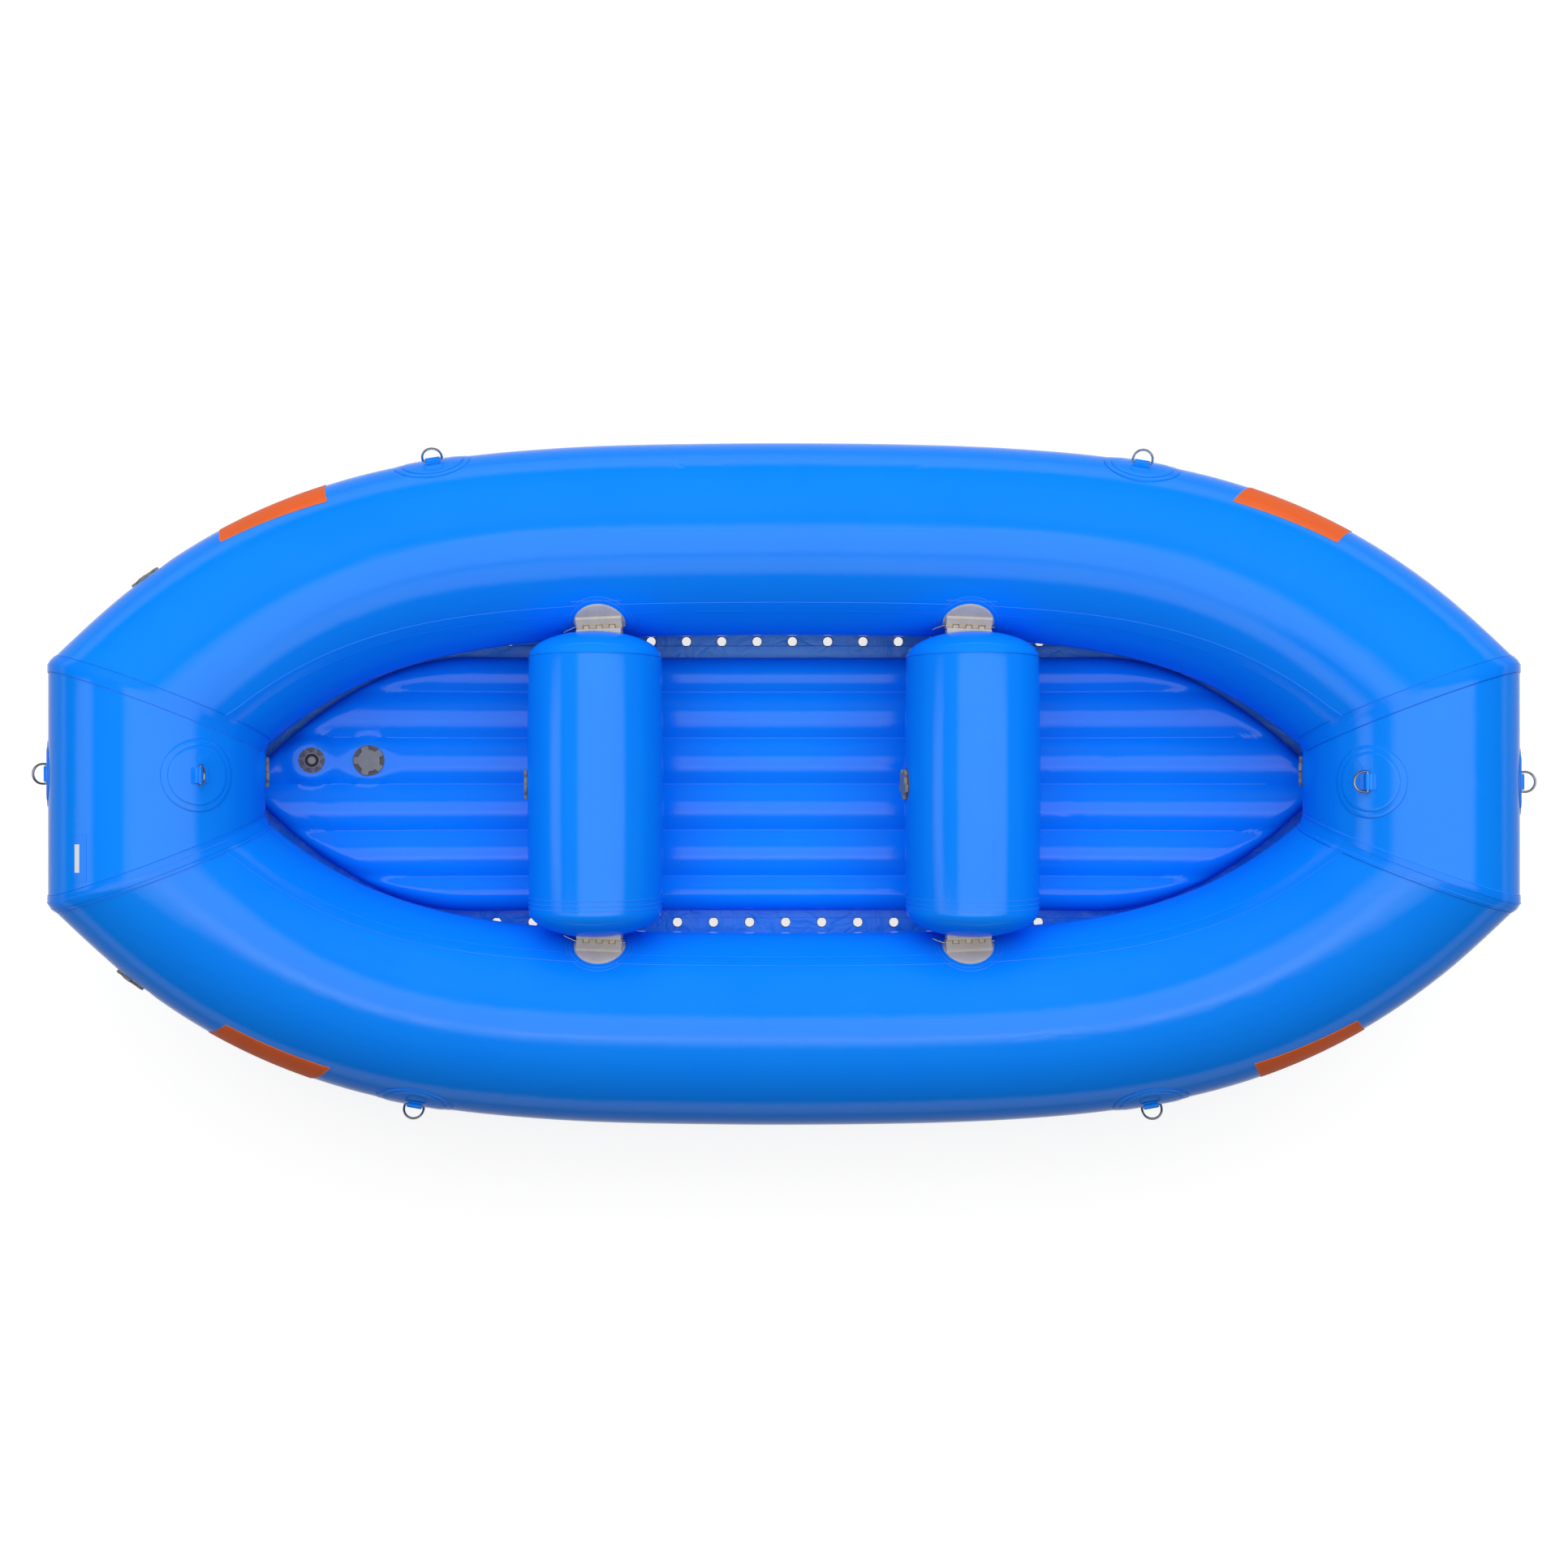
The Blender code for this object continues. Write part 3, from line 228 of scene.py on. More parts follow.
def coated_fabric(name, colour, cloudy, gloss, creasing):
    """Raft fabric: a film over cloth. Creasing is scale, depth and coverage."""
    made, tree, shader = new_finish(name)
    scale, crease_depth, coverage = creasing
    cloud = placed(tree, handling_cloud, Scale=5.0).outputs["Value"]
    tree.links.new(mixed(tree, cloud, colour, cloudy), shader.inputs["Base Color"])
    tree.links.new(ranged(tree, cloud, 0.0, 1.0, *gloss), shader.inputs["Roughness"])
    edge_on = tree.nodes.new("ShaderNodeLayerWeight").outputs["Facing"]
    tree.links.new(ranged(tree, edge_on, *FILM_FADES, FILM_FACE_ON, FILM_EDGE_ON),
                   shader.inputs["Specular IOR Level"])
    crease = placed(tree, fabric_creases, Scale=scale, Coverage=coverage)
    folds = bumped(tree, crease.outputs["Height"], crease_depth)
    cloth = placed(tree, cloth_threads)
    tree.links.new(bumped(tree, cloth.outputs["Height"], THREAD_DEPTH, folds),
                   shader.inputs["Normal"])
    return made


RAFT_BLUE = (0.0022, 0.235, 1.0)
RAFT_BLUE_CLOUDY = (0.0028, 0.245, 0.98)
TAPE_BLUE = (0.0022, 0.222, 0.98)
FLANGE_BLUE = (0.045, 0.265, 0.62)
PATCH_ORANGE = (0.84, 0.130, 0.024)
LABEL_WHITE = (0.80, 0.82, 0.84)

tube_fabric = coated_fabric("tube_fabric", RAFT_BLUE, RAFT_BLUE_CLOUDY,
                            (0.07, 0.09), (5.0, 0.0006, 0.45))
tape_fabric = coated_fabric("tape_fabric", TAPE_BLUE, RAFT_BLUE, (0.08, 0.12),
                            (9.0, 0.0006, 0.5))
flange_fabric = coated_fabric("flange_fabric", FLANGE_BLUE, (0.05, 0.30, 0.70),
                              (0.35, 0.45), (14.0, 0.0014, 0.9))
orange_fabric = coated_fabric("orange_fabric", PATCH_ORANGE, (0.74, 0.135, 0.035),
                              (0.40, 0.50), (9.0, 0.0006, 0.5))
label_fabric = coated_fabric("label_fabric", LABEL_WHITE, (0.72, 0.74, 0.78),
                             (0.45, 0.55), (20.0, 0.0004, 0.5))
# Glue and painted shade: a darker blue for the thin lines beside tape and patch edges and along the
# flange's seam, partly glue and partly the shade at each layer's step.
seam_glue = coated_fabric("seam_glue", (0.003, 0.150, 0.72), (0.004, 0.17, 0.78),
                          (0.20, 0.35), (9.0, 0.0002, 0.5))
# Painted highlight: a paler orange for the raised line round each orange panel, where its edge
# would catch the light.
orange_edge = coated_fabric("orange_edge", (0.90, 0.24, 0.08), (0.80, 0.20, 0.06),
                            (0.35, 0.45), (9.0, 0.0003, 0.5))
# Painted highlight: a paler blue for the thin lines along tape edges, layer edges and floor
# creases, where the film would catch the light.
bright_glue = coated_fabric("bright_glue", (0.05, 0.30, 1.0), (0.03, 0.27, 1.0),
                            (0.25, 0.40), (9.0, 0.0002, 0.5))
shaded_flange_fabric = coated_fabric("shaded_flange_fabric", (0.006, 0.235, 0.82),
                                     (0.012, 0.26, 0.86), (0.32, 0.42), (14.0, 0.0014, 0.9))
burnt_edge = coated_fabric("burnt_edge", (0.060, 0.035, 0.030), (0.09, 0.06, 0.05),
                           (0.50, 0.70), (60.0, 0.0003, 0.9))
print("fabrics:", [m.name for m in bpy.data.materials if "fabric" in m.name])

# %% Moulded plastic, rubber and steel
def hard_finish(name, colour, worn, gloss, grain, grain_depth, metal=0.0):
    """A fine grain in the surface and slight wear in its colour and gloss."""
    made, tree, shader = new_finish(name)
    cloud = placed(tree, handling_cloud, Scale=40.0).outputs["Value"]
    tree.links.new(mixed(tree, cloud, colour, worn), shader.inputs["Base Color"])
    tree.links.new(ranged(tree, cloud, 0.0, 1.0, *gloss), shader.inputs["Roughness"])
    fine = placed(tree, handling_cloud, Scale=grain).outputs["Value"]
    tree.links.new(bumped(tree, fine, grain_depth), shader.inputs["Normal"])
    shader.inputs["Metallic"].default_value = metal
    return made


hinge_plastic = hard_finish("hinge_plastic", (0.60, 0.54, 0.43), (0.68, 0.61, 0.50),
                            (0.45, 0.60), 900.0, 0.00005)
valve_plastic = hard_finish("valve_plastic", (0.205, 0.205, 0.195), (0.26, 0.26, 0.25),
                            (0.42, 0.58), 1100.0, 0.00005)
# Painted shade: a dark plastic for valve parts that are seen only in shadow, in the caps' notches
# and between the relief valve's arms.
valve_shade = hard_finish("valve_shade", (0.085, 0.087, 0.085), (0.12, 0.12, 0.12),
                          (0.45, 0.60), 1100.0, 0.00005)
valve_inner = hard_finish("valve_inner", (0.035, 0.036, 0.040), (0.05, 0.05, 0.055),
                          (0.45, 0.60), 1100.0, 0.00004)
relief_rubber = hard_finish("relief_rubber", (0.010, 0.010, 0.012), (0.02, 0.02, 0.022),
                            (0.45, 0.62), 700.0, 0.00005)
stainless = hard_finish("stainless", (0.62, 0.61, 0.60), (0.50, 0.50, 0.50),
                        (0.14, 0.26), 500.0, 0.00001, metal=1.0)
foot_plastic = hard_finish("foot_plastic", (0.54, 0.49, 0.42), (0.62, 0.57, 0.50),
                           (0.50, 0.62), 900.0, 0.00005)
button_plastic = hard_finish("button_plastic", (0.34, 0.32, 0.30), (0.26, 0.25, 0.24),
                             (0.40, 0.55), 900.0, 0.00005)
print("hard finishes ready")

# %% [markdown]
# ## Lines that the hull follows
#
# A side tube's centreline is a smooth curve in plan and rises at the ends. All
# that sits on the tube, such as a seam, a patch or a hinge, is placed by a
# station along the hull and an angle round the tube.

# %% The side tube's centreline and its sections
# The CAD tube has 24 flat sides. The skin runs round through their corners.
SKIN_RADIUS = 0.240 / math.cos(math.pi / 24)
SIDE_SPREAD = 0.622
END_SPREAD = 0.1875
END_REACH = 1.5005
SIDE_BOW = 0.057
SIDE_POWER = 4.5
KICK_START = 0.54
TANGENT_STEP = 0.0005
END_KICK = 0.235
MIDSHIP_HEIGHT = 0.240
END_HEIGHT = MIDSHIP_HEIGHT + END_KICK
UP = Vector((0, 0, 1))


def kick(x, rise):
    """How much a line rises at a station; it starts outside the thwarts."""
    reach = max(0.0, abs(x) - KICK_START) / (END_REACH - KICK_START)
    return rise * reach ** 2


def side_centre(x):
    share = abs(x) / END_REACH
    drawn_in = SIDE_SPREAD - END_SPREAD - SIDE_BOW
    y = SIDE_SPREAD - SIDE_BOW * share ** 2 - drawn_in * share ** SIDE_POWER
    return Vector((x, y, MIDSHIP_HEIGHT + kick(x, END_KICK)))


def side_tangent(x):
    return (side_centre(x + TANGENT_STEP) - side_centre(x - TANGENT_STEP)).normalized()


def section_axes(tangent):
    """The up and outboard directions of a port tube section."""
    up = (UP - tangent * tangent.z).normalized()
    return up, up.cross(tangent)


def around(up, out, degrees):
    """A direction by its angle from the top, outboard counted positive."""
    turn = math.radians(degrees)
    return up * math.cos(turn) + out * math.sin(turn)


def side_spot(x, degrees, height=0.0):
    """A point on the port tube, with the directions along and out of it."""
    tangent = side_tangent(x)
    outward = around(*section_axes(tangent), degrees)
    return side_centre(x) + outward * (SKIN_RADIUS + height), tangent, outward


def end_spot(y, degrees, height=0.0):
    """The same on the bow tube."""
    outward = around(UP, Vector((1, 0, 0)), degrees)
    centre = Vector((END_REACH, y, END_HEIGHT))
    return centre + outward * (SKIN_RADIUS + height), Vector((0, -1, 0)), outward


print("midship centre:", [round(v, 3) for v in side_centre(0.0)])

# %% The mitre where a side tube meets an end tube
# Up to the last whole section the tube follows its centreline. From there each
# line of its skin runs on smoothly to the mitre plane.
LAST_SECTION = END_REACH - 0.080
CORNER = Vector((END_REACH, END_SPREAD, END_HEIGHT))
ATHWART = Vector((0, -1, 0))
corner_tangent = (side_centre(END_REACH) - side_centre(END_REACH - 0.001)).normalized()
mitre_normal = (corner_tangent + ATHWART).normalized()
corner_axes = section_axes(corner_tangent)
end_axes = [(d - mitre_normal * 2 * d.dot(mitre_normal)).normalized() for d in corner_axes]


def mitre_point(tangent, axes, degrees, radius):
    """Where a line of a tube's skin meets the mitre plane."""
    spoke = around(*axes, degrees) * radius
    return CORNER + spoke - tangent * (spoke.dot(mitre_normal) / tangent.dot(mitre_normal))


def towards_mitre(degrees, share, height=0.0):
    """A point on a line of skin, from the last section at 0 to the mitre at 1."""
    start, along, _ = side_spot(LAST_SECTION, degrees, height)
    finish = mitre_point(corner_tangent, corner_axes, degrees, SKIN_RADIUS + height)
    length = (finish - start).length
    t, u = share, 1 - share
    return (start * (u * u * (1 + 2 * t)) + finish * (t * t * (1 + 2 * u))
            + along * (length * t * u * u) - corner_tangent * (length * t * t * u))


print("mitre normal:", [round(v, 3) for v in mitre_normal])

# %% [markdown]
# ## Skins from rows of points
#
# Almost every fabric piece here is a skin: rows of points joined by faces, with
# a UV map in metres so that the cloth's threads keep their size. A subdivision
# surface would pull in at the edges, and rows give the exact form.

# %% Build a skin
SMOOTH_BELOW = 38.0
BEVEL_WIDTH = 0.0006
BEVEL_OVER = 35.0


def circle_turns(count, whole=math.tau):
    """Equal steps round a whole turn."""
    return [k * whole / count for k in range(count)]


def link(name, mesh, finish, smooth=SMOOTH_BELOW):
    """A mesh as an object in the scene, smooth up to an edge angle."""
    mesh.materials.clear()
    mesh.materials.append(finish)
    mesh.shade_smooth()
    mesh.set_sharp_from_angle(angle=math.radians(smooth))
    made = bpy.data.objects.new(name, mesh)
    bpy.context.scene.collection.objects.link(made)
    return made


def turned_outward(mesh):
    """All faces of a closed skin made to face outward."""
    bm = bmesh.new()
    bm.from_mesh(mesh)
    bmesh.ops.recalc_face_normals(bm, faces=bm.faces)
    bm.to_mesh(mesh)
    bm.free()
    return mesh


def running_length(points):
    total = [0.0]
    for a, b in zip(points, points[1:]):
        total.append(total[-1] + (b - a).length)
    return total


def skin_mesh(name, rows, ends=("cap", "cap")):
    """Closed rows of equally many points as one surface, and its two ends.

    Each end is open, a cap or a pole.
    """
    count = len(rows[0])
    points = [p for row in rows for p in row]
    across = running_length(rows[len(rows) // 2])
    along = running_length([row[0] for row in rows])
    uvs = [(u, v) for u in along for v in across]
    faces = []
    for r in range(len(rows) - 1):
        for c in range(count):
            d = (c + 1) % count
            base = r * count
            faces.append((base + c, base + d, base + count + d, base + count + c))
    for k, end in enumerate(ends):
        base = k * (len(rows) - 1) * count
        loop = list(range(base, base + count))
        if isinstance(end, Vector):
            points.append(end)
            uvs.append((along[-k], across[-1] / 2))
            faces += [(len(points) - 1, loop[c], loop[(c + 1) % count]) for c in range(count)]
        elif end == "cap":
            faces.append(tuple(loop))
    mesh = bpy.data.meshes.new(name)
    mesh.from_pydata([tuple(p) for p in points], [], faces)
    layer = mesh.uv_layers.new(name="metres")
    corners = np.empty(len(mesh.loops), dtype=np.int64)
    mesh.loops.foreach_get("vertex_index", corners)
    layer.data.foreach_set("uv", np.array(uvs, dtype=np.float32)[corners].ravel())
    return turned_outward(mesh)


def skin(name, rows, finish, ends=("cap", "cap")):
    return link(name, skin_mesh(name, rows, ends), finish)


def closed_strip(name, outer_rows, inner_rows, finish):
    """A strip with thickness, from its outer and its inner rows."""
    return skin(name, [[*a, *reversed(b)] for a, b in zip(outer_rows, inner_rows)], finish)


# The axes that each quarter and each side is mirrored across, from port and bow
QUARTERS = {"port_bow": (), "port_stern": (0,), "starboard_bow": (1,), "starboard_stern": (0, 1)}
SIDES = {"port": (), "starboard": (1,)}


def mirror_matrix(axis):
    return Matrix.Diagonal([-1 if k == axis else 1 for k in range(4)])


def mirrored(mesh, *axes):
    """A mesh mirrored across as many axes as are named."""
    for axis in axes:
        mesh = mesh.copy()
        mesh.transform(mirror_matrix(axis))
        mesh.flip_normals()
    return mesh


def mirror_to(piece, name, *axes):
    """A copy of a piece with its modifiers, mirrored across up to two axes."""
    made = piece.copy()
    made.name, made.data = name, mirrored(piece.data, *axes)
    bpy.context.scene.collection.objects.link(made)
    return made


def hull_piece(piece, *replaced, slot=None):
    """A piece that rides on the hull, and the CAD nodes that it stands for."""
    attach(piece, "raft")
    if replaced:
        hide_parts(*replaced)


def bevelled(piece):
    """A live bevel on a piece's sharper edges."""
    bevel = piece.modifiers.new("moulded edges", "BEVEL")
    bevel.width, bevel.segments = BEVEL_WIDTH, 2
    bevel.limit_method = "ANGLE"
    bevel.angle_limit = math.radians(BEVEL_OVER)
    return piece


def to_quarters(pieces, replaced, slot):
    """Copies of named pieces in all four quarters of the hull, in their place."""
    for quarter, axes in QUARTERS.items():
        for name, piece in pieces.items():
            hull_piece(mirror_to(piece, name + quarter, *axes), replaced + quarter, slot=slot)
    for piece in pieces.values():
        bpy.data.objects.remove(piece)


print("skin builder ready")

# %% [markdown]
# ## Seats for the valves
#
# A valve is clamped through the fabric, which lies flat under its flange and
# curves away from it. The valves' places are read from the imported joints. Each
# skin below is then drawn level round the valves that it carries.

# %% Read where the valves sit
SEAT_FLAT = 0.0425
SEAT_BLEND = 0.078
SEAT_NEAR = 0.03
FLANGE_STANDS = 0.0014


def node_points(name):
    """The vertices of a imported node, and their mean."""
    points = [v.co.copy() for v in nodes[name].data.vertices]
    return points, sum(points, Vector()) / len(points)


def off_axis(point, middle, axis):
    """How far a point is from an axis through the middle."""
    arm = point - middle
    return (arm - axis * arm.dot(axis)).length


def eased(share):
    """From 0 to 1 with a level start and end."""
    return share * share * (3 - 2 * share)


def valve_seat(name):
    """A valve's centre, its direction out, and the fabric's level under its flange."""
    joint = joints.get(name + "_cap_twist") or joints[name + "_poppet_lift"]
    axis = Vector(joint["axis"]).normalized()
    points, middle = node_points(name + "_body")
    level = max(p.dot(axis) for p in points) - FLANGE_STANDS
    return middle, axis, level


def drawn_level(point, seats):
    """The point, moved to the level of a valve's seat that is close by."""
    for middle, axis, level in seats:
        distance = off_axis(point, middle, axis)
        height = point.dot(axis) - level
        if distance < SEAT_BLEND and abs(height) < SEAT_NEAR:
            share = max(0.0, (distance - SEAT_FLAT) / (SEAT_BLEND - SEAT_FLAT))
            point = point - axis * (height * (1 - eased(share)))
    return point


def flipped(vector, axis):
    mirror = vector.copy()
    mirror[axis] = -mirror[axis]
    return mirror


def mirrored_seat(seat, axis):
    middle, direction, level = seat
    return flipped(middle, axis), flipped(direction, axis), level


valve_names = sorted(name.removesuffix("_body") for name in nodes if name.endswith("_body"))
seats = {name: valve_seat(name) for name in valve_names}
print("valves:", valve_names)

# %% [markdown]
# ## The hull tubes
#
# Real tubes are glued from cut panels and blown tight, so they are never quite
# round. Each tube here is a skin of many sections with a very slight swell, and
# its columns of points lie closer together where a valve is set in.

# %% The four tubes
COLUMNS = 96
FINE_COLUMNS = 26
SWELL = 0.0007
SWELLS_PER_METRE = 3.1
# An end tube's swell fades out over this share of its length, at both mitres
SWELL_FADE = 1 / 8
MITRE_GAP = 0.0015
VALVE_SPAN = 19.0
SIDE_VALVE_ANGLE = 75.0
END_VALVE_ANGLE = -105.0
# Sections lie closer together from the stern's mitre to past the valve
FINE_TO = -1.315
FINE_SECTIONS = 22
SIDE_SECTIONS = 120
CORNER_SECTIONS = 16
END_SECTIONS = 56


def columns_near(degrees, half):
    """Angles round a section, closer together about one of them."""
    kept = [a for a in circle_turns(COLUMNS, 360.0)
            if abs((a - degrees + 180) % 360 - 180) > half]
    fine = [(degrees - half + 2 * half * k / FINE_COLUMNS) % 360
            for k in range(FINE_COLUMNS + 1)]
    return sorted(kept + fine)


def swollen(point, outward, share=1.0):
    """The skin's slight swell. Where the tube rests on the ground it is flat."""
    point = point + outward * (SWELL * share * noise.noise(point * SWELLS_PER_METRE))
    point.z = max(0.0, point.z)
    return point


def side_rows(angles, seat):
    """Sections of the port tube from the stern's mitre to the bow's."""
    fine_from = -LAST_SECTION
    stations = [fine_from + (FINE_TO - fine_from) * k / FINE_SECTIONS
                for k in range(FINE_SECTIONS)]
    stations += [FINE_TO + (LAST_SECTION - FINE_TO) * k / SIDE_SECTIONS
                 for k in range(SIDE_SECTIONS + 1)]
    rows = []
    for x in stations:
        tangent = side_tangent(x)
        axes = section_axes(tangent)
        directions = [around(*axes, a) for a in angles]
        rows.append([swollen(side_centre(x) + d * SKIN_RADIUS, d) for d in directions])
    corner = [[towards_mitre(a, k / CORNER_SECTIONS) for a in angles]
              for k in range(1, CORNER_SECTIONS + 1)]
    corner[-1] = [p - corner_tangent * MITRE_GAP for p in corner[-1]]
    stern = [[flipped(p, 0) for p in row] for row in reversed(corner)]
    rows = [*stern, *rows, *corner]
    return [[drawn_level(p, [seat]) for p in row] for row in rows]


def end_rows(angles, seat):
    """Sections of the bow tube from its port mitre to its starboard one."""
    ends = [mitre_point(ATHWART, end_axes, a, SKIN_RADIUS) + ATHWART * MITRE_GAP for a in angles]
    rows = []
    for k in range(END_SECTIONS + 1):
        share = k / END_SECTIONS
        row = []
        for start in ends:
            point = Vector((start.x, start.y * (1 - 2 * share), start.z))
            outward = (point - Vector((END_REACH, point.y, END_HEIGHT))).normalized()
            fade = min(1.0, share / SWELL_FADE, (1 - share) / SWELL_FADE)
            row.append(swollen(point, outward, fade))
        rows.append([drawn_level(p, [seat]) for p in row])
    return rows


# Each tube's rows, its valve's angle, and the axes that it is mirrored across
TUBES = {"port": (side_rows, SIDE_VALVE_ANGLE, ()),
         "starboard": (side_rows, SIDE_VALVE_ANGLE, (1,)),
         "bow": (end_rows, END_VALVE_ANGLE, ()),
         "stern": (end_rows, END_VALVE_ANGLE, (0,))}
for label, (rows_of, valve_angle, axes) in TUBES.items():
    seat = seats[label + "_valve"]
    for axis in axes:
        seat = mirrored_seat(seat, axis)
    tube = skin(label + "_tube_skin", rows_of(columns_near(valve_angle, VALVE_SPAN), seat),
                tube_fabric)
    tube.data = mirrored(tube.data, *axes)
    hull_piece(tube, label + "_tube", slot="hull_fabric")

# %% [markdown]
# ## Seams
#
# The tubes are closed with glued tapes. One runs round each mitre, and one runs
# the length of each side tube on its inner side. A tape stands less than two
# millimetres proud, and what shows from afar is the fine line at its edge. The pale
# lines are drawn as painted highlights, and the dark ones as glue and painted shade.

# %% Beads and joined pieces
DOUBLES_WITHIN = 0.0000005


def bead_mesh(name, points, radius, closed=False, sides=6):
    """A thin round line of glue or thread along its points."""
    count = len(points)
    rows = []
    for i, point in enumerate(points):
        before = points[(i - 1) % count if closed else max(0, i - 1)]
        after = points[(i + 1) % count if closed else min(count - 1, i + 1)]
        along = (after - before).normalized()
        side = along.cross(UP if abs(along.z) < 0.9 else Vector((1, 0, 0))).normalized()
        lift = side.cross(along)
        rows.append([point + (side * math.cos(t) + lift * math.sin(t)) * radius
                     for t in circle_turns(sides)])
    if closed:
        rows.append(rows[0])
        return skin_mesh(name, rows, ends=("open", "open"))
    return skin_mesh(name, rows)


def joined(name, meshes, finish):
    """Several meshes as one piece."""
    bm = bmesh.new()
    for mesh in meshes:
        bm.from_mesh(mesh)
    bmesh.ops.remove_doubles(bm, verts=bm.verts, dist=DOUBLES_WITHIN)
    whole = bpy.data.meshes.new(name)
    bm.to_mesh(whole)
    bm.free()
    return link(name, whole, finish)


print("bead helper ready")

# %% The seams over the mitres
TAPE_HALF_WIDTH = 0.022
TAPE_STANDS = 0.0019
TAPE_SUNK = -0.0006
TAPE_EDGE = 0.0009
TAPE_STATIONS = 144


def corner_line(degrees, offset, height):
    """A point beside the mitre: offset is positive on the side tube."""
    if offset < 0:
        place = mitre_point(ATHWART, end_axes, degrees, SKIN_RADIUS + height)
        return place + ATHWART * -offset
    start, end = towards_mitre(degrees, 0), towards_mitre(degrees, 1)
    return towards_mitre(degrees, 1 - offset / (end - start).length, height)


def corner_tape(low, high):
    """A tape round the mitre, between two distances from it."""
    steps = [low, low + TAPE_EDGE, low * 0.6 + high * 0.4, low * 0.3 + high * 0.7,
             high - TAPE_EDGE, high]
    heights = [0.0, *[TAPE_STANDS] * 4, 0.0]
    profile = list(zip(steps, heights)) + [(high, TAPE_SUNK), (low, TAPE_SUNK)]
    rows = [[corner_line(a, offset, h) for offset, h in profile]
            for a in circle_turns(TAPE_STATIONS, 360.0)]
    rows.append(rows[0])
    return skin_mesh("tape", rows, ends=("open", "open"))


wide_tape = joined("corner_tape", [corner_tape(-TAPE_HALF_WIDTH, TAPE_HALF_WIDTH)], tape_fabric)
to_quarters({"corner_tape_": wide_tape}, "bulkhead_seam_", "seam_tape")
print("corner tapes:", len(QUARTERS))

# %% Lines at the edges of the mitre tapes
# A fine line runs beside each edge of a tape: a dark one is glue and painted shade
# at the tape's step, a bright one a painted highlight. The starboard corners have
# a second, narrower layer, which adds lines of its own.
LINE_RADIUS = 0.0007
LINE_LIFT = 0.0001
LINE_STATIONS = 180
EDGE_LINES = {
    "port_bow": ((0.0225, "dark"), (-0.0225, "dark")),
    "port_stern": ((0.0225, "dark"), (-0.0225, "bright")),
    "starboard_bow": ((0.0225, "dark"), (0.013, "bright"), (-0.004, "dark"), (-0.0225, "bright")),
    "starboard_stern": ((0.0225, "bright"), (0.012, "dark"), (-0.006, "bright"), (-0.0225, "dark")),
}


def corner_bead(offset):
    height = LINE_LIFT if abs(offset) > TAPE_HALF_WIDTH else TAPE_STANDS
    points = [corner_line(a, offset, height) for a in circle_turns(LINE_STATIONS, 360.0)]
    return bead_mesh("line", points, LINE_RADIUS, closed=True)


for quarter, lines in EDGE_LINES.items():
    for tone, finish in (("dark", seam_glue), ("bright", bright_glue)):
        beads = [corner_bead(offset) for offset, kind in lines if kind == tone]
        if beads:
            piece = joined("corner_line", beads, finish)
            hull_piece(mirror_to(piece, f"corner_{tone}_lines_{quarter}", *QUARTERS[quarter]),
                       slot="seam_tape")
            bpy.data.objects.remove(piece)
print("corner lines done")

# %% The long seams on the inner side of the side tubes
SEAM_ANGLES = (-47.0, -54.0)
SEAM_STANDS = 0.0011
SEAM_SUNK = -0.0008
SEAM_LINE = 0.0006
SEAM_STATIONS = 160
CORNER_STATIONS = 8


def side_strip_rows(low, high, height, steps=4):
    """Rows of points along the port tube between two angles."""
    angles = [low + (high - low) * s / steps for s in range(steps + 1)]
    rows = []
    for k in range(SEAM_STATIONS + 1):
        x = LAST_SECTION * (2 * k / SEAM_STATIONS - 1)
        rows.append([side_spot(x, a, height)[0] for a in angles])
    for k in range(1, CORNER_STATIONS):
        row = [towards_mitre(a, k / CORNER_STATIONS, height) for a in angles]
        rows.append(row)
        rows.insert(0, [flipped(p, 0) for p in row])
    return rows


strip = closed_strip("long_seam", side_strip_rows(*SEAM_ANGLES, SEAM_STANDS),
                     side_strip_rows(*SEAM_ANGLES, SEAM_SUNK), tape_fabric)
# The bright lines at the seam tape's two edges are painted highlights.
edges = [bead_mesh("edge", [row[0] for row in side_strip_rows(a, a, SEAM_LINE, steps=1)],
                   SEAM_LINE) for a in SEAM_ANGLES]
lines = joined("seam_lines", edges, bright_glue)
for piece, ending in ((strip, "_side"), (lines, "_lines")):
    for label, axes in SIDES.items():
        hull_piece(mirror_to(piece, "long_seam_" + label + ending, *axes), slot="seam_tape")
    bpy.data.objects.remove(piece)
print("long seams done")

# %% [markdown]
# ## The floor
#
# The floor is one bladder, held flat by rows of tied beams. Blown up it swells
# between the beams into six long chambers with a sharp crease at each beam. A
# loose flange with drain holes joins it to the tubes on both sides.

# %% The bladder
FLOOR_HALF_WIDTH = 0.3354
FLOOR_HALF_THICKNESS = 0.055
FLOOR_MID_HEIGHT = 0.075
FLOOR_KICK = 0.215
BEAM_SPACING = 0.121
CREASE_DEPTH = 0.018
FLOOR_TIP = END_REACH - 0.118
TAPER_LENGTH = 0.5625
TAPER_START = FLOOR_TIP - TAPER_LENGTH
LAST_CHAMBER = 2
CHAMBER_SPLITS = 12
# The least share of a section's width that its flat middle keeps
FLAT_SHARE = 0.72
PLAIN_STEP = 0.02
PLAIN_STATIONS = 41
TAPER_STATIONS = 46


def floor_half_width(x):
    share = max(0.0, abs(x) - TAPER_START) / TAPER_LENGTH
    return FLOOR_HALF_WIDTH * (1 - share ** 2)


def floor_middle(x):
    return FLOOR_MID_HEIGHT + kick(x, FLOOR_KICK)


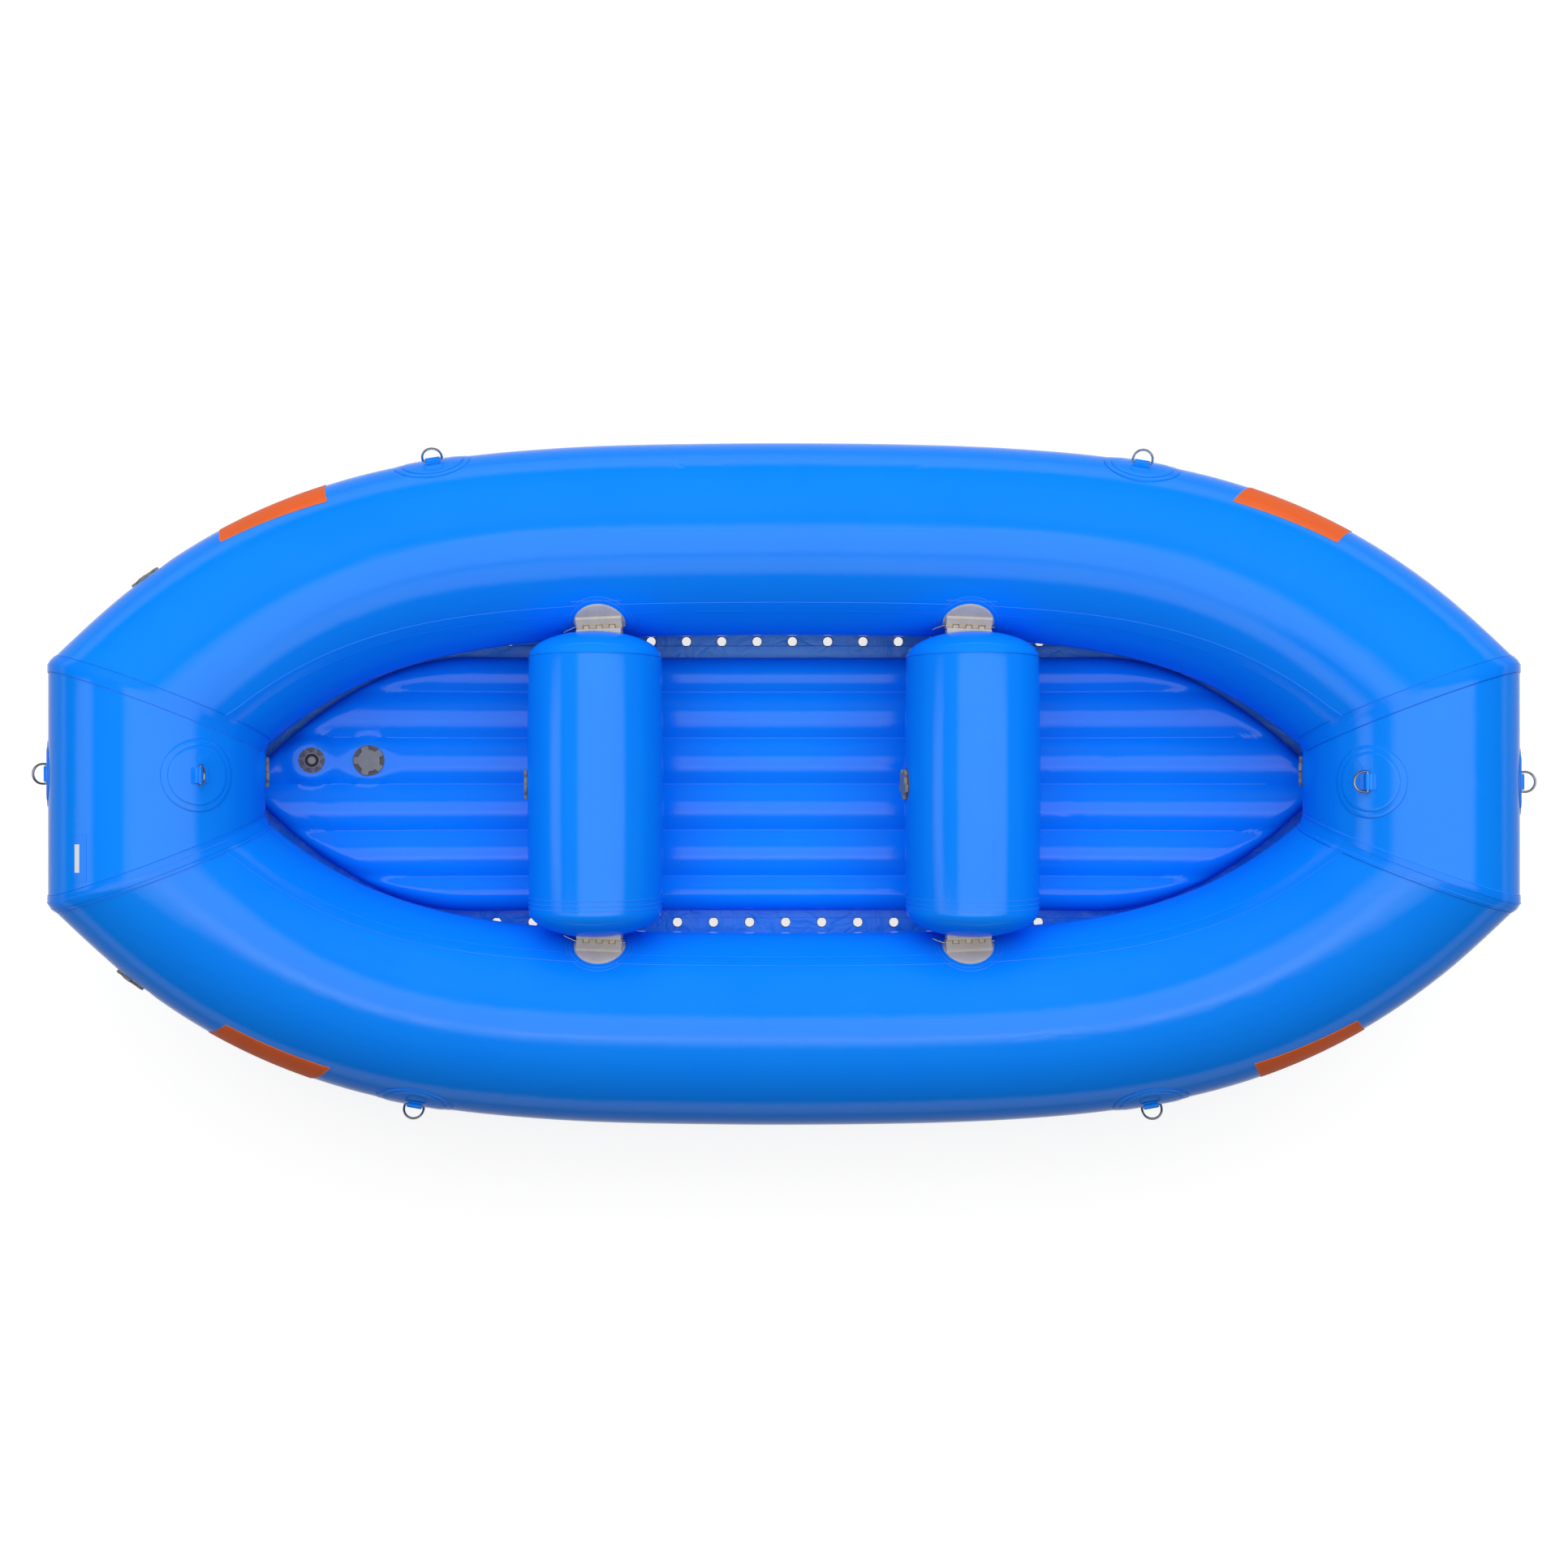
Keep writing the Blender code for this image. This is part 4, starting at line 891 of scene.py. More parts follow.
def floor_half_height(x, y):
    """Half the floor's thickness: round at the rim, creased at each beam."""
    half = FLOOR_HALF_THICKNESS
    rim = min(floor_half_width(x) - abs(y), FLOOR_TIP - abs(x))
    rim = max(0.0, min(rim, half))
    rounded = math.sqrt(max(0.0, half ** 2 - (half - rim) ** 2))
    chamber = min(LAST_CHAMBER, int(abs(y) / BEAM_SPACING))
    inner = chamber * BEAM_SPACING
    outer = inner + BEAM_SPACING
    if outer > FLOOR_HALF_WIDTH - half:
        outer = max(FLOOR_HALF_WIDTH, 2 * abs(y) - inner)
    spread = (2 * abs(y) - inner - outer) / (outer - inner)
    return max(0.0, rounded - CREASE_DEPTH * spread ** 2 * (rounded / half) ** 2)


def floor_lines(x):
    """The mesh lines across a section, which draw together towards the tips."""
    width = floor_half_width(x)
    edge = max(width - FLOOR_HALF_THICKNESS, width * FLAT_SHARE)
    flat = FLOOR_HALF_WIDTH - FLOOR_HALF_THICKNESS
    pitch = BEAM_SPACING / CHAMBER_SPLITS
    lines = [k * pitch for k in range(int(flat / pitch + 0.1))] + [flat]
    row = [min(line, edge * (FLAT_SHARE + (1 - FLAT_SHARE) * k / (len(lines) - 1)))
           for k, line in enumerate(lines)]
    row += [edge + (width - edge) * math.sin(math.radians(a)) for a in range(9, 90, 9)]
    return [-y for y in reversed(row)] + row[1:]


def floor_section(x):
    width, middle = floor_half_width(x), floor_middle(x)
    lines = floor_lines(x)
    top = [Vector((x, y, middle + floor_half_height(x, y))) for y in lines]
    bottom = [Vector((x, y, middle - floor_half_height(x, y))) for y in reversed(lines)]
    return [Vector((x, -width, middle)), *top, Vector((x, width, middle)), *bottom]


half_stations = [PLAIN_STEP * k for k in range(1, PLAIN_STATIONS + 1)]
half_stations += [TAPER_START + (FLOOR_TIP - TAPER_START)
                  * math.sin(math.radians(90 * k / TAPER_STATIONS))
                  for k in range(1, TAPER_STATIONS)]
floor_rows = [floor_section(x) for x in
              [*(-x for x in reversed(half_stations)), 0.0, *half_stations]]
floor_seats = [seats["floor_valve"], seats["relief_valve"]]
floor_rows = [[drawn_level(p, floor_seats) if p.z > floor_middle(p.x) else p for p in row]
              for row in floor_rows]
tips = [Vector((side * FLOOR_TIP, 0.0, floor_middle(FLOOR_TIP))) for side in (-1, 1)]
bladder = skin("floor_bladder", floor_rows, tube_fabric, ends=tips)
hull_piece(bladder, "floor", slot="hull_fabric")
print("floor faces:", len(bladder.data.polygons))

# %% Light lines along the creases
# A pale line at the bottom of each crease is a painted highlight, where the beam's
# seam would catch the light. Each line is given by its number from the keel and how far it reaches.
CREASE_REACH = {0: 1.235, 1: 1.160, -1: 1.160, 2: 0.985, -2: 0.985}
CREASE_LIFT = 0.0002
CREASE_RADIUS = 0.0011
CREASE_STATIONS = 150


def crease_points(y, reach):
    stations = [reach * (2 * k / CREASE_STATIONS - 1) for k in range(CREASE_STATIONS + 1)]
    return [Vector((x, y, floor_middle(x) + floor_half_height(x, y) + CREASE_LIFT))
            for x in stations]


crease_lines = [bead_mesh("crease", crease_points(k * BEAM_SPACING, reach), CREASE_RADIUS)
                for k, reach in CREASE_REACH.items()]
hull_piece(joined("floor_crease_lines", crease_lines, bright_glue), slot="seam_tape")
print("crease lines:", len(crease_lines))

# %% [markdown]
# ## The drain flange
#
# The flange is a loose strip that laps over the floor's rim and is glued under
# the tube. It isn't blown up, so it crinkles. Each drain hole is a cell of the
# mesh: points on a circle joined to points on the cell's edge. Cutting the holes
# out with a Boolean would leave long thin faces, which show on crinkled cloth.

# %% Where the flange runs
FLANGE_OVERLAP = 0.018
FLANGE_REACH = END_REACH - 0.190
FLANGE_TIP = END_REACH - 0.030
FLANGE_THICKNESS = 0.003
DRAIN_RADIUS = 0.0128
DRAIN_COUNT = 16
# Each side's drains: distance from the keel, pitch, and shift along the hull
DRAIN_ROWS = {"port": (0.3777, 0.0937, -0.0247), "starboard": (0.3664, 0.0957, -0.0435)}
CELL_STEPS = 12
CELL_RINGS = 5
# A cell's rings lie closer together near its hole
RING_CROWDING = 1.5
PLAIN_CELL = 0.012
# Loose cloth crinkles, and more so towards the tips. Fine crinkles lie on broad
# ones, and both are shorter along the hull than across it.
RIPPLE = 0.0026
RIPPLE_GROWS = 1.6
RIPPLE_SEEDS = {"port": 3.0, "starboard": 11.0}
BROAD_CRINKLES = (26.0, 18.0)
FINE_CRINKLES = (70.0, 30.0)
FINE_SHARE = 0.5
FINE_SEED = 5
# The outer edge's angle on the tube: at midship, and what it gains by the end
FLANGE_ANGLE = 131.0
FLANGE_ANGLE_GAIN = 19.0
FLANGE_SUNK = -0.001
FLANGE_SMOOTH = 50.0
LEAST_HALF_WIDTH = 0.0003


def flange_edges(x):
    """The inner and the outer edge of the port flange at a station."""
    share = min(1.0, abs(x) / FLANGE_REACH)
    inner = max(LEAST_HALF_WIDTH, floor_half_width(x) - FLANGE_OVERLAP)
    rim = Vector((x, inner, floor_middle(x)))
    angle = FLANGE_ANGLE + FLANGE_ANGLE_GAIN * share ** 3
    return rim, side_spot(x, -angle, FLANGE_SUNK)[0]


def crinkle(x, y, scale, seed):
    return noise.noise(Vector((x * scale[0], y * scale[1], seed)))


def flange_point(x, y, seed):
    """The crinkled strip at a station and a distance from the keel."""
    rim, outer = flange_edges(x)
    share = (y - rim.y) / (outer.y - rim.y)
    loose = math.sin(math.pi * min(1.0, max(0.0, share)))
    pucker = crinkle(x, y, BROAD_CRINKLES, seed)
    pucker += FINE_SHARE * crinkle(x, y, FINE_CRINKLES, seed + FINE_SEED)
    ripple = RIPPLE * (1 + RIPPLE_GROWS * (x / FLANGE_TIP) ** 2)
    return Vector((x, y, rim.lerp(outer, share).z + ripple * loose * pucker))


def drain_centres(pitch, shift):
    return [(k - (DRAIN_COUNT - 1) / 2) * pitch + shift for k in range(DRAIN_COUNT)]


def cell_outline(x_low, x_high):
    """Points round a stretch of the flange, as many on each of its sides."""
    def edge(x, share):
        rim, outer = flange_edges(x)
        return (x, rim.y + (outer.y - rim.y) * share)

    steps = [k / CELL_STEPS for k in range(CELL_STEPS)]
    across = [x_low + (x_high - x_low) * s for s in steps]
    back = [x_high - (x_high - x_low) * s for s in steps]
    return ([edge(x, 0.0) for x in across] + [edge(x_high, s) for s in steps]
            + [edge(x, 1.0) for x in back] + [edge(x_low, 1 - s) for s in steps])


print("flange from", -FLANGE_TIP, "to", FLANGE_TIP)

# %% Build both flanges
def drilled_cell(x_low, x_high, hole):
    """Loops of points from the drain hole out to the cell's edge."""
    outline = cell_outline(x_low, x_high)
    loops = []
    for s in range(CELL_RINGS + 1):
        share = (s / CELL_RINGS) ** RING_CROWDING
        loop = []
        for x, y in outline:
            far = math.hypot(x - hole[0], y - hole[1])
            near = (hole[0] + (x - hole[0]) * DRAIN_RADIUS / far,
                    hole[1] + (y - hole[1]) * DRAIN_RADIUS / far)
            loop.append((near[0] + (x - near[0]) * share, near[1] + (y - near[1]) * share))
        loops.append(loop)
    return loops


def plain_rows(x_low, x_high, count):
    """Rows of points across a stretch of flange without a hole."""
    rows = []
    for k in range(count + 1):
        x = x_low + (x_high - x_low) * k / count
        rim, outer = flange_edges(x)
        rows.append([(x, rim.y + (outer.y - rim.y) * s / CELL_STEPS)
                     for s in range(CELL_STEPS + 1)])
    return rows


def flange_mesh(label):
    """Both faces of one side's strip, joined round its edges and its holes."""
    line, pitch, shift = DRAIN_ROWS[label]
    seed = RIPPLE_SEEDS[label]
    bm = bmesh.new()
    known = {}

    def vertex(place):
        key = (round(place[0], 6), round(place[1], 6))
        if key not in known:
            known[key] = bm.verts.new(flange_point(*place, seed))
        return known[key]

    def face(corners):
        corners = [vertex(p) for p in corners]
        if len(set(corners)) == len(corners):
            bm.faces.new(corners)

    centres = drain_centres(pitch, shift)
    for x in centres:
        loops = drilled_cell(x - pitch / 2, x + pitch / 2, (x, line))
        count = len(loops[0])
        for inner, outer in zip(loops, loops[1:]):
            for k in range(count):
                j = (k + 1) % count
                face([inner[k], outer[k], outer[j], inner[j]])
    ends = ((-FLANGE_TIP, centres[0] - pitch / 2), (centres[-1] + pitch / 2, FLANGE_TIP))
    for low, high in ends:
        rows = plain_rows(low, high, max(2, round((high - low) / PLAIN_CELL)))
        for a, b in zip(rows, rows[1:]):
            for k in range(CELL_STEPS):
                face([a[k], b[k], b[k + 1], a[k + 1]])
    bmesh.ops.recalc_face_normals(bm, faces=bm.faces)
    bmesh.ops.solidify(bm, geom=bm.faces[:], thickness=FLANGE_THICKNESS)
    bmesh.ops.translate(bm, verts=bm.verts[:], vec=(0, 0, -FLANGE_THICKNESS / 2))
    bmesh.ops.recalc_face_normals(bm, faces=bm.faces)
    mesh = bpy.data.meshes.new(label + "_flange")
    bm.to_mesh(mesh)
    bm.free()
    layer = mesh.uv_layers.new(name="metres")
    for loop in mesh.loops:
        place = mesh.vertices[loop.vertex_index].co
        layer.data[loop.index].uv = (place.x, place.y)
    return mirrored(mesh, *SIDES[label])


for label, finish in (("port", flange_fabric), ("starboard", shaded_flange_fabric)):
    hull_piece(link(label + "_drain_flange", flange_mesh(label), finish, FLANGE_SMOOTH),
               "floor", slot="hull_fabric")

# %% Edges of the drain holes and the flange's seam
# Each hole is burnt through the cloth, which leaves a brown edge.
FLANGE_SEAM_INSET = 0.0115
FLANGE_SEAM_REACH = 0.80
BURNT_WIDTH = 0.0008
EDGE_POINTS = 40


def on_flange(x, y, seed):
    """A point on the flange's upper face."""
    return flange_point(x, y, seed) + UP * FLANGE_THICKNESS / 2


def drain_edge(x, y, seed):
    points = [on_flange(x + DRAIN_RADIUS * math.cos(t), y + DRAIN_RADIUS * math.sin(t), seed)
              for t in circle_turns(EDGE_POINTS)]
    return bead_mesh("edge", points, BURNT_WIDTH, closed=True)


for label, (line, pitch, shift) in DRAIN_ROWS.items():
    seed = RIPPLE_SEEDS[label]
    rings = joined(label + "_drain_edges",
                   [drain_edge(x, line, seed) for x in drain_centres(pitch, shift)], burnt_edge)
    # The flange's seam is a thin dark line: glue and painted shade in its crease.
    seam = [on_flange(FLANGE_SEAM_REACH * (2 * k / SEAM_STATIONS - 1),
                      line - FLANGE_SEAM_INSET, seed) for k in range(SEAM_STATIONS + 1)]
    stitch = joined(label + "_flange_seam", [bead_mesh("seam", seam, LINE_RADIUS)], seam_glue)
    for piece in (rings, stitch):
        piece.data = mirrored(piece.data, *SIDES[label])
        hull_piece(piece, slot="seam_tape")
print("drain edges:", 2 * DRAIN_COUNT)

# %% [markdown]
# ## Thwarts
#
# A thwart is a short fat tube with domed ends, blown hard enough to sit on. It
# is a skin turned about its own axis, a little fuller in the middle.

# %% The two thwarts
THWART_X = 0.466
THWART_RADIUS = 0.1675
THWART_BARREL = 0.004
THWART_SEAM = 0.310
THWARTS = {"stern": -THWART_X, "bow": THWART_X}
THWART_VALVE_ANGLE = -85.0
THWART_VALVE_SPAN = 28.0
DOME_STEPS = 24
BARREL_STEPS = 30
HINGE_ANGLE = 61.5
PIN_STANDOFF = 0.0135
DOME_CLEARANCE = 0.0125
plate_spot, _, plate_out = side_spot(THWART_X, -HINGE_ANGLE)
pin_centre = plate_spot + plate_out * PIN_STANDOFF
DOME_APEX = pin_centre.y - DOME_CLEARANCE


def thwart_profile():
    """Radius and distance from the middle, from one apex to the other."""
    end_radius = THWART_RADIUS - THWART_BARREL
    half = []
    for k in range(1, DOME_STEPS + 1):
        turn = math.radians(90 * k / DOME_STEPS)
        half.append((end_radius * math.sin(turn),
                     THWART_SEAM + (DOME_APEX - THWART_SEAM) * math.cos(turn)))
    half += [(THWART_RADIUS - THWART_BARREL * (k / BARREL_STEPS) ** 2,
              THWART_SEAM * k / BARREL_STEPS) for k in range(BARREL_STEPS - 1, -1, -1)]
    return half + [(r, -y) for r, y in reversed(half[:-1])]


def thwart_rows(x, seat):
    angles = columns_near(THWART_VALVE_ANGLE, THWART_VALVE_SPAN)
    rows = []
    for radius, y in thwart_profile():
        row = []
        for a in angles:
            outward = around(UP, Vector((1, 0, 0)), a)
            point = Vector((x, y, pin_centre.z)) + outward * radius
            row.append(drawn_level(swollen(point, outward), [seat]))
        rows.append(row)
    return rows


for label, x in THWARTS.items():
    ends = [Vector((x, DOME_APEX, pin_centre.z)), Vector((x, -DOME_APEX, pin_centre.z))]
    thwart = skin(label + "_thwart_skin", thwart_rows(x, seats[label + "_thwart_valve"]),
                  tube_fabric, ends=ends)
    hull_piece(thwart, label + "_thwart", slot="hull_fabric")
print("thwart apex at y =", round(DOME_APEX, 4), "axis z =", round(pin_centre.z, 4))

# %% Seams round the thwarts' ends
# The dome is a cap of its own, lapped over the barrel and held by a tape. The
# dark line is glue and painted shade at the tape's step, the bright lines painted
# highlights. Each seam is given by its distance from the keel and its radius.
THWART_SEAMS = {
    "dark": (seam_glue, ((0.3125, 0.0008),)),
    "bright": (bright_glue, ((-0.279, 0.0007), (-0.291, 0.0006), (-0.3025, 0.0007))),
}
HOOP_POINTS = 120
HOOP_LIFT = 0.0001


def thwart_radius(y):
    """The thwart's own radius at a distance from the keel."""
    reach = abs(y) / THWART_SEAM
    if reach <= 1:
        return THWART_RADIUS - THWART_BARREL * reach ** 2
    share = (abs(y) - THWART_SEAM) / (DOME_APEX - THWART_SEAM)
    return (THWART_RADIUS - THWART_BARREL) * math.sqrt(max(0.0, 1 - share ** 2))


def thwart_hoop(x, y):
    """Points round the thwart, just over its skin."""
    centre = Vector((x, y, pin_centre.z))
    return [centre + around(UP, Vector((1, 0, 0)), a) * (thwart_radius(y) + HOOP_LIFT)
            for a in circle_turns(HOOP_POINTS, 360.0)]


for label, x in THWARTS.items():
    for tone, (finish, places) in THWART_SEAMS.items():
        hoops = [bead_mesh("hoop", thwart_hoop(x, y), radius, closed=True)
                 for y, radius in places]
        hull_piece(joined(f"{label}_thwart_{tone}_seams", hoops, finish), slot="seam_tape")
print("thwart seams done")

# %% [markdown]
# ## Patches on the tubes
#
# Every fitting is held by round patches of fabric in two or three layers. Each
# layer is a disc laid on the tube: its points are placed by how far they are
# along the tube and round it, which is how real cloth lies on a cylinder.

# %% A disc laid on a tube
DISC_POINTS = 72
CIRCLE_POINTS = 96


def laid_point(spot, station, degrees, along, around_by, height):
    """A point on a patch, by its distances along and round the tube."""
    return spot(station + along, degrees + math.degrees(around_by / SKIN_RADIUS), height)[0]


def laid_circle(spot, station, degrees, radius, height, count):
    """Points round a circle on a patch."""
    return [laid_point(spot, station, degrees, radius * math.cos(t), radius * math.sin(t), height)
            for t in circle_turns(count)]


def disc_mesh(spot, station, degrees, radius, low, high, edge, rings=10):
    """A round patch from one height over the skin to another, with a soft edge."""
    def ring(r, height):
        return laid_circle(spot, station, degrees, r, height, DISC_POINTS)

    rows = [ring(radius, low), ring(radius, high - edge)]
    rows += [ring(radius - edge * 0.4, high - edge * 0.3), ring(radius - edge, high)]
    rows += [ring((radius - edge) * (1 - k / rings), high) for k in range(1, rings)]
    top = laid_point(spot, station, degrees, 0.0, 0.0, high)
    under = [ring(radius * k / 4, low) for k in range(1, 4)]
    bottom = laid_point(spot, station, degrees, 0.0, 0.0, low)
    return skin_mesh("disc", [*under, *rows], ends=(bottom, top))


def circle_bead(spot, station, degrees, radius, height, thickness):
    points = laid_circle(spot, station, degrees, radius, height, CIRCLE_POINTS)
    return bead_mesh("circle", points, thickness, closed=True)


def axes_at(place, along, side, outward):
    """The matrix of a frame, from its place and its three directions."""
    matrix = Matrix((along, side, outward)).transposed().to_4x4()
    matrix.translation = place
    return matrix


def framed(spot, station, degrees, height=0.0):
    """A frame on a tube: X along it, Z out of it."""
    place, along, outward = spot(station, degrees, height)
    side = outward.cross(along).normalized()
    return axes_at(place, side.cross(outward), side, outward)


print("patch helpers ready")

# %% [markdown]
# ## Thwart hinges
#
# Each thwart hangs between two plastic hinges. A round foot is glued to the
# tube and carries a block with four knuckles. A leaf on the thwart has three
# more, and a steel pin runs through all seven. Booleans suit such a hard piece,
# and a small bevel afterwards gives it the rounded edges of a moulding.

# %% Make solids and join them
def prism(outline, low, high):
    """An outline in Y and Z drawn out along X."""
    rows = [[Vector((x, y, z)) for y, z in outline] for x in (low, high)]
    return skin_mesh("prism", rows)


def arc(centre, radius, start, end, count):
    turns = [math.radians(start + (end - start) * k / count) for k in range(count + 1)]
    return [(centre[0] + radius * math.cos(t), centre[1] + radius * math.sin(t)) for t in turns]


def combined(mesh, others, operation):
    """The exact Boolean of a mesh with each of the others."""
    for other in others:
        first = bpy.data.objects.new("first", mesh)
        second = bpy.data.objects.new("second", other)
        for piece in (first, second):
            bpy.context.scene.collection.objects.link(piece)
        boolean = first.modifiers.new("boolean", "BOOLEAN")
        boolean.operation, boolean.solver, boolean.object = operation, "EXACT", second
        bpy.context.view_layer.update()
        mesh = bpy.data.meshes.new_from_object(
            first.evaluated_get(bpy.context.evaluated_depsgraph_get()))
        bpy.data.objects.remove(first)
        bpy.data.objects.remove(second)
    return mesh


print("solid helpers ready")

# %% The four hinge plates
PLATE_RADIUS = 0.066
PLATE_UNDER = 0.0012
PLATE_TOP = 0.0045
PLATE_EDGE = 0.0012
KNUCKLE_RADIUS = 0.0080
KNUCKLE_LENGTH = 0.0161
KNUCKLES = 7
HINGE_HALF = KNUCKLE_LENGTH * KNUCKLES / 2
BLOCK_BASE = 0.0015
BLOCK_RISE = 0.027
BLOCK_EDGE = 0.0095
PIN_RADIUS = 0.0025
# The windows' room round the leaf's knuckles, below them and to the side
WINDOW_UNDER = 0.0009
WINDOW_GAP = 0.0032
WINDOW_TOP = 0.04


def knuckle_spans(first):
    starts = [-HINGE_HALF + k * KNUCKLE_LENGTH for k in range(first, KNUCKLES, 2)]
    return [(a, a + KNUCKLE_LENGTH) for a in starts]


def hinge_block():
    """The block in its own frame, with its knuckles and windows."""
    outline = [(-KNUCKLE_RADIUS, BLOCK_BASE), (BLOCK_RISE, BLOCK_BASE), (BLOCK_RISE, BLOCK_EDGE)]
    outline += arc((0.0, PIN_STANDOFF), KNUCKLE_RADIUS, 50, 180, 14)
    block = prism(outline, -HINGE_HALF, HINGE_HALF)
    floor = PIN_STANDOFF - KNUCKLE_RADIUS - WINDOW_UNDER
    wide = KNUCKLE_RADIUS + WINDOW_GAP
    window = [(-2 * wide, floor), (wide, floor), (wide, WINDOW_TOP), (-2 * wide, WINDOW_TOP)]
    windows = [prism(window, a, b) for a, b in knuckle_spans(1)]
    return combined(block, windows, "DIFFERENCE")


# All that belongs to a hinge lies at one spot on the tube
HINGE_SPOT = (side_spot, THWART_X, -HINGE_ANGLE)
block_mesh = hinge_block()
block_mesh.transform(framed(*HINGE_SPOT))
foot_mesh = disc_mesh(*HINGE_SPOT, PLATE_RADIUS, PLATE_UNDER, PLATE_TOP, PLATE_EDGE)
to_quarters({"hinge_block_": bevelled(link("hinge_block", block_mesh, hinge_plastic)),
             "hinge_foot_": link("hinge_foot", foot_mesh, foot_plastic)},
            "hinge_plate_", "hinge_plastic")
print("hinge plates:", len(QUARTERS))

# %% Leaves on the thwarts
LEAF_HALF_HEIGHT = 0.026
LEAF_GAP = 0.0005
LEAF_FACE = -(KNUCKLE_RADIUS + LEAF_GAP)
LEAF_DEPTH = 0.012
LEAF_INSET = 0.0015
WEB_HALF = 0.0056
WEB_OVERLAP = 0.002
KNUCKLE_INSET = 0.0014


def pin_axes():
    """On the pin's axis: X along the tube, Z level and outboard."""
    along = side_tangent(THWART_X)
    outboard = UP.cross(along).normalized()
    return axes_at(pin_centre, along, outboard.cross(along), outboard)


def hinge_leaf():
    """A leaf that fits the thwart's dome, with three knuckles."""
    back = LEAF_FACE - LEAF_DEPTH
    outline = [(-LEAF_HALF_HEIGHT, back), (-LEAF_HALF_HEIGHT, LEAF_FACE),
               (LEAF_HALF_HEIGHT, LEAF_FACE), (LEAF_HALF_HEIGHT, back)]
    leaf = prism(outline, -HINGE_HALF + LEAF_INSET, HINGE_HALF - LEAF_INSET)
    web = [(-WEB_HALF, LEAF_FACE - WEB_OVERLAP), (WEB_HALF, LEAF_FACE - WEB_OVERLAP)]
    web += arc((0.0, 0.0), KNUCKLE_RADIUS, -30, 210, 24)
    knuckles = [prism(web, a + KNUCKLE_INSET, b - KNUCKLE_INSET) for a, b in knuckle_spans(1)]
    leaf = combined(leaf, knuckles, "UNION")
    leaf.transform(pin_axes())
    return combined(leaf, [bpy.data.objects["bow_thwart_skin"].data.copy()], "DIFFERENCE")


to_quarters({"hinge_leaf_skin_": bevelled(link("hinge_leaf", hinge_leaf(), hinge_plastic))},
            "hinge_leaf_", "hinge_plastic")
print("hinge leaves:", len(QUARTERS))

# %% Pins
PIN_STUB = 0.008
PIN_TAIL = 0.026


def smoothed(points, steps=6):
    """A smooth line through its points."""
    whole = []
    for i in range(len(points) - 1):
        p0, p1 = points[max(0, i - 1)], points[i]
        p2, p3 = points[i + 1], points[min(len(points) - 1, i + 2)]
        for k in range(steps):
            t = k / steps
            whole.append(0.5 * ((2 * p1) + (p2 - p0) * t + (2 * p0 - 5 * p1 + 4 * p2 - p3) * t * t
                                + (3 * p1 - p0 - 3 * p2 + p3) * t ** 3))
    return [*whole, points[-1]]


def hinge_pin():
    """A stub at the bow end, and a tail that is bent down at the other."""
    run_out = HINGE_HALF + 2.5 * PIN_RADIUS
    turns = [(run_out, 0.0), (run_out + 0.0025, 0.001), (run_out + 0.0055, 0.003),
             (run_out + PIN_TAIL * 0.55, 0.24 * PIN_TAIL), (run_out + PIN_TAIL, 0.45 * PIN_TAIL)]
    tail = smoothed([Vector((-x, 0, -z)) for x, z in turns])
    points = [Vector((HINGE_HALF + PIN_STUB, 0, 0)), Vector((0, 0, 0)), *tail]
    return bead_mesh("pin", points, PIN_RADIUS, sides=16)


for quarter, axes in QUARTERS.items():
    matrix = pin_axes()
    for axis in axes:
        matrix = mirror_matrix(axis) @ matrix @ mirror_matrix(axis)
    pin_mesh = hinge_pin()
    pin_mesh.transform(matrix)
    pin = bevelled(link("steel_pin_" + quarter, pin_mesh, stainless))
    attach(pin, "hinge_pin_" + quarter)
    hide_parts("hinge_pin_" + quarter)
print("pins:", len(QUARTERS))

# %% Patches under the hinges
# Two round layers lie under each foot, and a square one beneath them shows as a
# straight line. The pale lines at the layers' edges are painted highlights.
HINGE_LAYERS = ((0.0865, 0.0008), (0.0775, 0.0012))
LAYER_EDGE = 0.0004
CIRCLE_RADIUS = 0.0006
STRAIGHT_HEIGHT = 0.0004
STRAIGHT_RADIUS = 0.0009
STRAIGHT_STEPS = 24
# The ends of each straight line, as stations and angles on the port tube
STRAIGHT_LINES = {"port_stern": ((-0.5293, -43.6), (-0.4025, -44.0)),
                  "port_bow": ((0.4025, -44.0), (0.5293, -43.6)),
                  "starboard_stern": ((-0.5510, -52.0), (-0.4078, -51.4)),
                  "starboard_bow": ((0.4078, -51.4), (0.5510, -52.0))}
layers = [disc_mesh(*HINGE_SPOT, radius, 0.0, top, LAYER_EDGE, rings=6)
          for radius, top in HINGE_LAYERS]
patch = joined("hinge_patch", layers, tape_fabric)
circles = [circle_bead(*HINGE_SPOT, radius, top - LAYER_EDGE / 2, CIRCLE_RADIUS)
           for radius, top in HINGE_LAYERS]
circle = joined("hinge_circle", circles, bright_glue)
for quarter, axes in QUARTERS.items():
    for name, piece in (("hinge_patch_", patch), ("hinge_patch_edges_", circle)):
        hull_piece(mirror_to(piece, name + quarter, *axes), slot="seam_tape")
    (x0, a0), (x1, a1) = STRAIGHT_LINES[quarter]
    points = [side_spot(x0 + (x1 - x0) * k / STRAIGHT_STEPS,
                        a0 + (a1 - a0) * k / STRAIGHT_STEPS, STRAIGHT_HEIGHT)[0]
              for k in range(STRAIGHT_STEPS + 1)]
    bead = bead_mesh("line", points, STRAIGHT_RADIUS)
    line = joined("hinge_square_edge_" + quarter, [bead], bright_glue)
    line.data = mirrored(line.data, *SIDES[quarter.split("_")[0]])
    hull_piece(line, slot="seam_tape")
for piece in (patch, circle):
    bpy.data.objects.remove(piece)
print("hinge patches:", len(QUARTERS))

